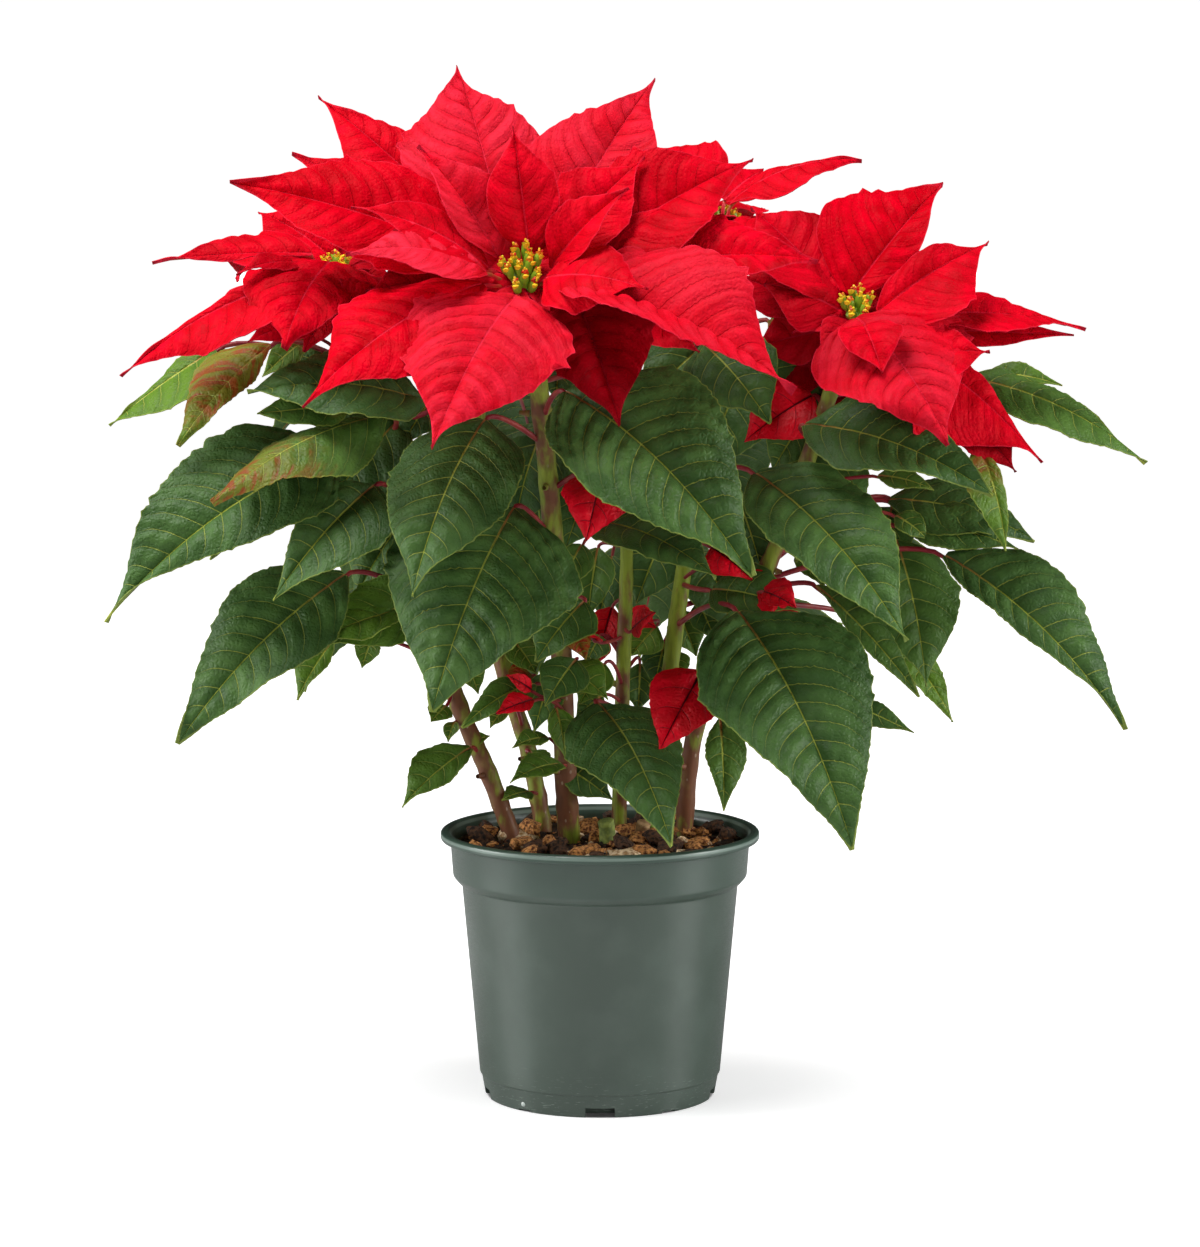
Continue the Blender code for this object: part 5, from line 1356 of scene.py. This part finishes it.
def bark_piece(name, settings, finish):
    """One stem: swollen at each leaf scar, with the stubs of shed leaves."""
    stem = STEMS[name]
    path = stem_path(name, 9)
    lengths = [0.0]
    for before, after in zip(path, path[1:]):
        lengths.append(lengths[-1] + (after - before).length)
    place = np.array(lengths)
    share = place / place[-1]
    spacing = settings.node_spacing / MM
    # a stem tapers, swells over the last part of the way to each scar and is a little uneven
    from_node = np.abs((place / spacing) % 1 - 0.5) * 2
    swelling = settings.swelling / MM * np.clip(from_node - SCAR_START, 0, 1) / SCAR_SPAN
    taper = stem.foot_radius + (stem.top_radius - stem.foot_radius) * share
    radii = taper + swelling + BARK_UNEVEN * np.sin(place * 0.9)
    age = stem.brown * np.clip(1.15 - share / stem.upto * 0.75, 0, 1)
    parts = [tube(path, radii, 20, 3, 0.025, age)]
    for node_number in range(3, int(place[-1] / spacing) - 2):
        at = int(np.argmin(np.abs(place - node_number * spacing)))
        if path[at].z < LOWEST_STUB or node_number % 2:
            continue
        along = (path[at + 1] - path[at - 1]).normalized()
        side = along.orthogonal()
        turn = node_number * TURN
        out = side * math.cos(turn) + along.cross(side) * math.sin(turn)
        start = path[at] + out * (radii[at] - 1.0)
        end = path[at] + out * (radii[at] + 2.0 + math.sin(turn)) + along * 0.9
        stub = [start, start.lerp(end, 0.6), end, end]
        parts.append(tube(stub, [1.9, 1.3, 1.15, 0.6], 10, age=[age[at]] * 4))
    piece = joined(parts, name.replace("stem", "bark"))
    piece.data.materials.append(finish)
    smoothed(piece, 55)
    dress(piece, "leaf", name)


def turned(name, profile, sides):
    """A round closed body from a profile of radius and height in metres."""
    item = new_grid(name, sides, len(profile) - 1)
    places = points_of(item)
    line = np.array(profile)
    ring = np.rint((places[:, 1] + 0.5) * (len(profile) - 1)).astype(int)
    turn = places[:, 0] * 2 * np.pi
    radius = line[ring, 0]
    move_points(item, np.stack([radius * np.cos(turn), radius * np.sin(turn), line[ring, 1]], axis=1))
    close_up(item)
    return item


def inner_radius(height):
    """The radius of the pot's inside at a height between its floor and its rim."""
    if height >= BAND_BOTTOM:
        share = (height - BAND_BOTTOM) / (RIM_HEIGHT - LIP_DEPTH - BAND_BOTTOM)
        return BAND_BOTTOM_RADIUS - POT_WALL + (BAND_TOP_RADIUS - BAND_BOTTOM_RADIUS) * share
    share = (height - STEP_HEIGHT) / (WALL_TOP - STEP_HEIGHT)
    return STEP_RADIUS - POT_WALL + (WALL_TOP_RADIUS - STEP_RADIUS) * share


def rounded(corners, radius, steps=3):
    """The profile with each inner corner rounded off over this length."""
    line = [Vector(corner) for corner in corners]
    path = [tuple(line[0])]
    for before, corner, after in zip(line, line[1:], line[2:]):
        back = before - corner
        onward = after - corner
        reach = min(radius, back.length * LONGEST_ROUNDING, onward.length * LONGEST_ROUNDING)
        start = corner + back.normalized() * reach
        end = corner + onward.normalized() * reach
        for step in range(steps + 1):
            t = step / steps
            path.append(tuple(start * (1 - t) ** 2 + corner * 2 * t * (1 - t) + end * t ** 2))
    path.append(tuple(line[-1]))
    return path


def pot_body(settings):
    """The pot's shell with its rolled lip, rim band, foot step and drainage notches."""
    lip = RIM_HEIGHT - LIP_DEPTH
    corners = [
        (0, 0.4 * MM), (FOOT_RADIUS - 6 * MM, 0.4 * MM), (FOOT_RADIUS - 5 * MM, 0), (FOOT_RADIUS, 0),
        (STEP_RADIUS - 0.1 * MM, STEP_HEIGHT - 0.4 * MM), (STEP_RADIUS + 0.7 * MM, STEP_HEIGHT),
        (WALL_TOP_RADIUS, WALL_TOP), (WALL_TOP_RADIUS + 1.9 * MM, WALL_TOP + 1.1 * MM),
        (BAND_BOTTOM_RADIUS, BAND_BOTTOM), (BAND_TOP_RADIUS, lip + 0.1 * MM), (RIM_RADIUS - 0.5 * MM, lip),
        (RIM_RADIUS, lip + 0.8 * MM), (RIM_RADIUS, RIM_HEIGHT - 1.0 * MM),
        (RIM_RADIUS - 1.2 * MM, RIM_HEIGHT), (BAND_TOP_RADIUS + 0.9 * MM, RIM_HEIGHT),
        (BAND_TOP_RADIUS - POT_WALL, lip),
        (BAND_BOTTOM_RADIUS - POT_WALL, BAND_BOTTOM), (inner_radius(WALL_TOP), WALL_TOP),
        (inner_radius(POT_FLOOR), POT_FLOOR), (0, POT_FLOOR),
    ]
    body = turned("pot_shell", rounded(corners, POT_ROUNDING), settings.sides)
    cutters = []
    for width, tall, directions in NOTCHES:
        size = Matrix.Diagonal((width, NOTCH_DEPTH * 2, tall * 2, 1))
        for degrees in directions:
            turn = math.radians(degrees)
            start_new()
            bpy.ops.mesh.primitive_cube_add(size=1)
            cutter = bpy.context.object
            on_foot = Matrix.Translation((math.sin(turn) * FOOT_RADIUS, -math.cos(turn) * FOOT_RADIUS, 0))
            cutter.data.transform(on_foot @ Matrix.Rotation(turn, 4, "Z") @ size)
            cutters.append(cutter)
    cutter = joined(cutters, "notch_cutter")
    apply_modifier(body, "BOOLEAN", object=cutter, operation="DIFFERENCE", solver="EXACT")
    bpy.data.objects.remove(cutter, do_unlink=True)
    smoothed(body, 32)
    return body


def soil_relief(x, y):
    """How far the soil's surface stands above or below its mean height, in metres: hills and lumps."""
    hills = np.sin(x * 190 + 1) * np.cos(y * 230) + 0.6 * np.sin(x * 410 - y * 370)
    lumps = np.sin(x * 900 + 3 * np.sin(y * 700)) * np.sin(y * 1100 + 2 * np.sin(x * 800))
    return (SOIL_HILLS * hills + SOIL_LUMPS * lumps) * MM


def soil_body():
    """The soil: a plug that fills the pot, lumpy on top."""
    edge = inner_radius(SOIL_HEIGHT) - GAP * MM
    profile = [(0, SOIL_BOTTOM), (inner_radius(SOIL_BOTTOM) - GAP * MM * 2, SOIL_BOTTOM),
               (inner_radius(WALL_TOP) - GAP * MM, WALL_TOP), (edge, SOIL_HEIGHT - 1 * MM)]
    profile += [(edge * (1 - step / SOIL_RINGS), SOIL_HEIGHT) for step in range(SOIL_RINGS + 1)]
    body = turned("soil_plug", profile, SOIL_SIDES)
    points = points_of(body)
    top = points[:, 2] > SOIL_HEIGHT - 0.5 * MM
    fade = np.clip((edge - np.hypot(points[:, 0], points[:, 1])) / (4 * MM), 0, 1)
    points[top, 2] += (soil_relief(points[:, 0], points[:, 1]) * fade)[top]
    move_points(body, points)
    smoothed(body, 60)
    return body


def on_soil(across, down):
    """Where the front view's square meets the soil's surface, in millimetres."""
    near = seen(across, down, 0.0)
    far = seen(across, down, 100.0)
    share = (SOIL_HEIGHT / MM - near.z) / (far.z - near.z)
    return near.lerp(far, share)


def scatter(kind, count, sizes, seed, placed=()):
    """Chips or crumbs strewn over the soil, each turned its own way; some have set places."""
    rng = np.random.default_rng(seed)
    edge = inner_radius(SOIL_HEIGHT) - 2 * MM
    start_new()
    if kind == "chip":
        bpy.ops.mesh.primitive_cube_add(size=CHIP_CUBE)
    else:
        bpy.ops.mesh.primitive_ico_sphere_add(subdivisions=1, radius=0.5)
    first = bpy.context.object
    if kind == "chip":
        apply_modifier(first, "SUBSURF", subdivision_type="CATMULL_CLARK", levels=1, render_levels=1)
    shape = points_of(first)
    items = []
    for index in range(count):
        item = first.copy()
        item.data = first.data.copy()
        bpy.context.collection.objects.link(item)
        size = rng.uniform(0, 1) ** 2 * (sizes[1] - sizes[0]) * MM + sizes[0] * MM
        stretch = np.array([1.0, rng.uniform(*CHIP_WIDTHS), rng.uniform(*CHIP_HEIGHTS)])
        jitter = rng.normal(0, CHIP_ROUGHNESS, shape.shape)
        lean = rng.normal(0, CHIP_LEAN)
        roll = rng.normal(0, CHIP_ROLL)
        heading = rng.uniform(0, 2 * math.pi)
        turn = rng.uniform(0, 2 * math.pi)
        away = edge * math.sqrt(rng.uniform(0, 1))
        place = Vector((away * math.cos(turn), away * math.sin(turn)))
        if index < len(placed):
            left, right, down, heading, thick = placed[index]
            middle = on_soil((left + right) / 2, down) * MM
            size = (right - left) * SQUARE_WIDTH * MM
            stretch = np.array([1.0, LUMP_WIDTH, thick])
            place = middle.xy
            lean = 0.0
        points = (shape + jitter) * stretch * size
        tilt = Matrix.Rotation(heading, 3, "Z") @ Matrix.Rotation(lean, 3, "X")
        points = points @ np.array(tilt @ Matrix.Rotation(roll, 3, "Y")).T
        # one that would reach past the edge is moved in
        room = max(place.length + size * 0.45 - edge, 0)
        place = place * (1 - room / place.length)
        z = SOIL_HEIGHT + float(soil_relief(place.x, place.y)) + CHIP_LIFT * size
        points = points + np.array([place.x, place.y, z])
        points[:, 2] = np.minimum(points[:, 2], HIGHEST_CHIP)
        move_points(item, points)
        items.append(item)
    bpy.data.objects.remove(first, do_unlink=True)
    return items


class BuildPot(Operator):
    """Build the moulded nursery pot."""

    bl_idname = "poinsettia.build_pot"
    bl_label = "Build pot"

    def execute(self, context):
        settings = context.scene.poinsettia_pot
        body = pot_body(settings)
        with_material(body, plastic_material("satin_moulded_plastic", settings))
        place = Vector(GATE_MARK)
        outward = Vector((place.x, place.y, 0)).normalized()
        # a low knob that starts inside the wall
        steps = [place + outward * out for out, _ in GATE_FORM]
        gate = with_material(
            tube(steps, [radius for _, radius in GATE_FORM], 16),
            speckled_material("pale_flash", "#D8DEDA", "#B4BEB8", 2, 0.1, 0.4))
        body = joined([body, gate], "pot_shell")
        smoothed(body, 32)
        dress(body, "pot", "pot")
        return {"FINISHED"}


class BuildSoil(Operator):
    """Build the peat with its bark chips and crumbs."""

    bl_idname = "poinsettia.build_soil"
    bl_label = "Build soil"

    def execute(self, context):
        settings = context.scene.poinsettia_pot
        peat = speckled_material("dark_peat", settings.soil, "#0E0704", 2, 1.2)
        bark = speckled_material("pine_bark", settings.chip, "#552C16", 1.6, 1.2)
        pale = speckled_material("pale_bark", "#F6DCB4", "#A87C4C", 2, 1)
        dark = speckled_material("charred_bark", "#5C3C24", "#140B06", 1.8, 1.2)
        plug = with_material(soil_body(), peat)
        dress(plug, "soil", "soil")
        crumbs = scatter("crumb", settings.crumbs, CRUMB_SIZES, CRUMB_SEED)
        for index, crumb in enumerate(crumbs):
            with_material(crumb, (peat, bark, peat, dark, pale)[index % 5])
        crumbs = joined(crumbs, "peat_crumbs")
        dress(crumbs, "soil", "soil")
        chips = scatter("chip", settings.chips, CHIP_SIZES, CHIP_SEED, LUMPS)
        for index, chip in enumerate(chips):
            with_material(chip, (pale, bark, bark, bark, dark, dark, bark, pale, dark, dark)[index % 10])
        chips = joined(chips, "bark_chips")
        smoothed(chips, 25)
        dress(chips, "soil", "soil")
        return {"FINISHED"}


class BuildStems(Operator):
    """Build the woody stems and the two cut stumps."""

    bl_idname = "poinsettia.build_stems"
    bl_label = "Build stems"

    def execute(self, context):
        settings = context.scene.poinsettia_stem
        bark = bark_material("woody_bark", settings)
        for name in STEMS:
            bark_piece(name, settings, bark)
        finishes = {
            "stump_green": speckled_material("green_stub", "#94A24C", "#66743A", 4, 0.4, 0.7),
            "stump_tan": speckled_material("dry_stub", "#B59468", "#7C5C3C", 4, 0.5, 0.8),
        }
        for name, (radius, foot, top) in STUMPS.items():
            straight = Vector((foot.x, foot.y, SOIL_HEIGHT / MM + 2))
            line = smooth_path([foot, straight, top], 6)
            radii = np.full(len(line), radius)
            radii[-2:] = (radius * 1.03, radius * 0.9)
            piece = with_material(tube(line, radii, 20, 3, 0.05), finishes[name])
            piece.name = name.replace("stump", "stub")
            smoothed(piece, 40)
            dress(piece, "stem", name)
        return {"FINISHED"}


class BuildLeaves(Operator):
    """Build the leaves with their petioles."""

    bl_idname = "poinsettia.build_leaves"
    bl_label = "Build leaves"

    def execute(self, context):
        scene = context.scene
        upper = leaf_material("leaf_upper_face", scene.poinsettia_leaf, scene.poinsettia_bract, True)
        under = leaf_material("leaf_underside", scene.poinsettia_leaf, scene.poinsettia_bract, False)
        red_stalk = stalk_material("red_petiole", scene.poinsettia_stem.petiole, "#A84A3A")
        for name in STEMS:
            leaf_pieces(name, scene.poinsettia_blade, (upper, under, red_stalk))
        return {"FINISHED"}


class BuildBracts(Operator):
    """Build the red bracts of the flower heads."""

    bl_idname = "poinsettia.build_bracts"
    bl_label = "Build bracts"

    def execute(self, context):
        scene = context.scene
        upper = bract_material("velvet_red_upper_face", scene.poinsettia_bract, True)
        under = bract_material("velvet_red_underside", scene.poinsettia_bract, False)
        stalks = stalk_material("red_bract_stalk", scene.poinsettia_bract.under, "#8E7A38")
        for name in BLOOMS:
            bract_pieces(name, scene.poinsettia_blade, (upper, under, stalks))
        return {"FINISHED"}


class BuildCyathia(Operator):
    """Build the clusters of little urns with their glands and stamens."""

    bl_idname = "poinsettia.build_cyathia"
    bl_label = "Build cyathia"

    def execute(self, context):
        finishes = (
            stalk_material("urn_green", "#8FB02A", "#5F8A1C"),
            stalk_material("urn_mouth_red", "#D43A1E", "#C01828"),
            stalk_material("gland_yellow", "#F6D832", "#E6BC22"),
            stalk_material("urn_mouth_orange", "#EE8A2A", "#D85A22"),
        )
        for name in BLOOMS:
            cyathia_piece(name, finishes)
        return {"FINISHED"}


FLOOR_SIZE = 24.0
BACKDROP_RADIUS = 11.0
# How far the glowing sheet lies above the floor
GLOW_HEIGHT = 0.02 * MM
# The strength of the floor's glow near the pot, against that of the backdrop; the glow is painted light,
# which only the camera sees, laid over the real floor and its shadows
NEAR_GLOW = 0.61
# Where the floor's glow starts to rise from that strength and where it is full, from the pot's axis
GLOW_REACH = (0.05, 0.25)
# The share of the glow that is left under the pot, and the width of the step at the edge of its foot
SHADED_GLOW = 0.03
SHADED_EDGE = 1.5 * MM
# The point that all softboxes shine at
LIT_POINT = (0, 0, 0.25)
# Softboxes: name, place and size in metres, the setting that holds the power, and whether it makes highlights
SOFTBOXES = [
    ("key_softbox", (-0.55, -0.40, 1.95), 0.9, "key_power", True),
    ("left_softbox", (-1.75, -0.15, 0.7), 1.0, "side_power", True),
    ("right_softbox", (1.7, -0.35, 0.7), 0.9, "side_power", True),
    ("front_softbox", (0.5, -2.6, 0.45), 0.9, "front_power", False),
    ("back_softbox", (0, 2.2, 0.7), 2.4, "back_power", False),
]


def softbox(name, place, size, power, shines):
    """A square area light turned to shine at the plant, with or without a highlight."""
    start_new()
    place = Vector(place)
    turn = (Vector(LIT_POINT) - place).to_track_quat("-Z", "Y").to_euler()
    bpy.ops.object.light_add(type="AREA", location=place, rotation=turn)
    light = bpy.context.object
    light.name = name
    light.data.size = size
    light.data.energy = power
    light.visible_camera = False
    light.visible_glossy = shines


def glow(name, colour, near):
    """Make the new object a clear sheet of even white, which only the camera sees.

    Near the pot it glows with the given strength, and farther away with a strength of one."""
    sheet = bpy.context.object
    sheet.name = name
    made, tree = new_material(name + "_white")
    tree.nodes.remove(tree.nodes["Principled BSDF"])
    place = node(tree, "TexCoord").node.outputs["Object"]
    away = node(tree, "VectorMath", place, operation="LENGTH")
    shaded = node(tree, "MapRange", away, FOOT_RADIUS - SHADED_EDGE, FOOT_RADIUS, SHADED_GLOW, 1)
    rising = node(tree, "MapRange", away, *GLOW_REACH, near, 1)
    light = node(tree, "Emission", colour, node(tree, "Math", rising, shaded, **TIMES))
    both = node(tree, "AddShader", light, node(tree, "BsdfTransparent"))
    fill(tree.nodes["Material Output"].inputs["Surface"], both)
    with_material(sheet, made)
    sheet.visible_diffuse = False
    sheet.visible_glossy = False
    sheet.visible_transmission = False
    sheet.visible_shadow = False


class BuildStudio(Operator):
    """Set the pale floor, the soft light and the camera."""

    bl_idname = "poinsettia.build_studio"
    bl_label = "Build studio"

    def execute(self, context):
        scene = context.scene
        settings = scene.poinsettia_studio
        start_new()
        bpy.ops.mesh.primitive_plane_add(size=FLOOR_SIZE)
        floor = bpy.context.object
        floor.name = "floor"
        paper, tree = new_material("white_paper_sweep")
        set_shader(tree, Base_Color="#C8C8C8", Roughness=0.3, Specular_IOR_Level=0.4)
        with_material(floor, paper)
        start_new()
        bpy.ops.mesh.primitive_plane_add(size=FLOOR_SIZE, location=(0, 0, GLOW_HEIGHT))
        glow("floor_glow", settings.backdrop, NEAR_GLOW)
        start_new()
        bpy.ops.mesh.primitive_uv_sphere_add(segments=32, ring_count=16, radius=BACKDROP_RADIUS)
        glow("backdrop", settings.backdrop, 1)
        for name, place, size, power, shines in SOFTBOXES:
            softbox(name, place, size, getattr(settings, power), shines)
        world = bpy.data.worlds.new("studio")
        world.use_nodes = True
        scene.world = world
        light = world.node_tree.nodes["Background"]
        light.inputs["Color"].default_value = settings.backdrop
        light.inputs["Strength"].default_value = settings.room_light
        place = (0, -VIEW_DISTANCE * MM, VIEW_HEIGHT * MM)
        start_new()
        bpy.ops.object.camera_add(location=place, rotation=(math.pi / 2 - VIEW_PITCH, 0, 0))
        camera = bpy.context.object
        camera.data.sensor_fit = "VERTICAL"
        camera.data.sensor_height = SENSOR
        camera.data.lens = VIEW_SQUARES / VIEW_TALL * SENSOR
        scene.camera = camera
        scene.view_settings.view_transform = "Standard"
        return {"FINISHED"}


class PoinsettiaPanel(Panel):
    """Lists the sizes, the colours and the building steps."""

    bl_idname = "VIEW3D_PT_poinsettia"
    bl_label = "Poinsettia"
    bl_space_type = "VIEW_3D"
    bl_region_type = "UI"
    bl_category = "Poinsettia"

    def draw(self, context):
        for key in SETTINGS:
            box = self.layout.box()
            group = getattr(context.scene, key)
            for name in group.bl_rna.properties.keys():
                if name not in ("rna_type", "name"):
                    box.prop(group, name)
        for step in STEPS:
            self.layout.operator(step.bl_idname)


SETTINGS = {
    "poinsettia_blade": BladeSettings,
    "poinsettia_leaf": LeafColours,
    "poinsettia_bract": BractColours,
    "poinsettia_stem": StemSettings,
    "poinsettia_pot": PotSettings,
    "poinsettia_studio": StudioSettings,
}
STEPS = [BuildPot, BuildSoil, BuildStems, BuildLeaves, BuildBracts, BuildCyathia, BuildStudio]


def register():
    """Add the settings, the building steps and the panel."""
    for key, group in SETTINGS.items():
        bpy.utils.register_class(group)
        setattr(bpy.types.Scene, key, PointerProperty(type=group))
    for item in (*STEPS, PoinsettiaPanel):
        bpy.utils.register_class(item)


def unregister():
    """Take out what register adds."""
    for item in (PoinsettiaPanel, *reversed(STEPS)):
        bpy.utils.unregister_class(item)
    for key, group in SETTINGS.items():
        delattr(bpy.types.Scene, key)
        bpy.utils.unregister_class(group)


def main():
    """Build every piece."""
    register()
    bpy.ops.poinsettia.build_pot()
    bpy.ops.poinsettia.build_soil()
    bpy.ops.poinsettia.build_stems()
    bpy.ops.poinsettia.build_leaves()
    bpy.ops.poinsettia.build_bracts()
    bpy.ops.poinsettia.build_cyathia()
    bpy.ops.poinsettia.build_studio()


if __name__ == "__main__":
    main()
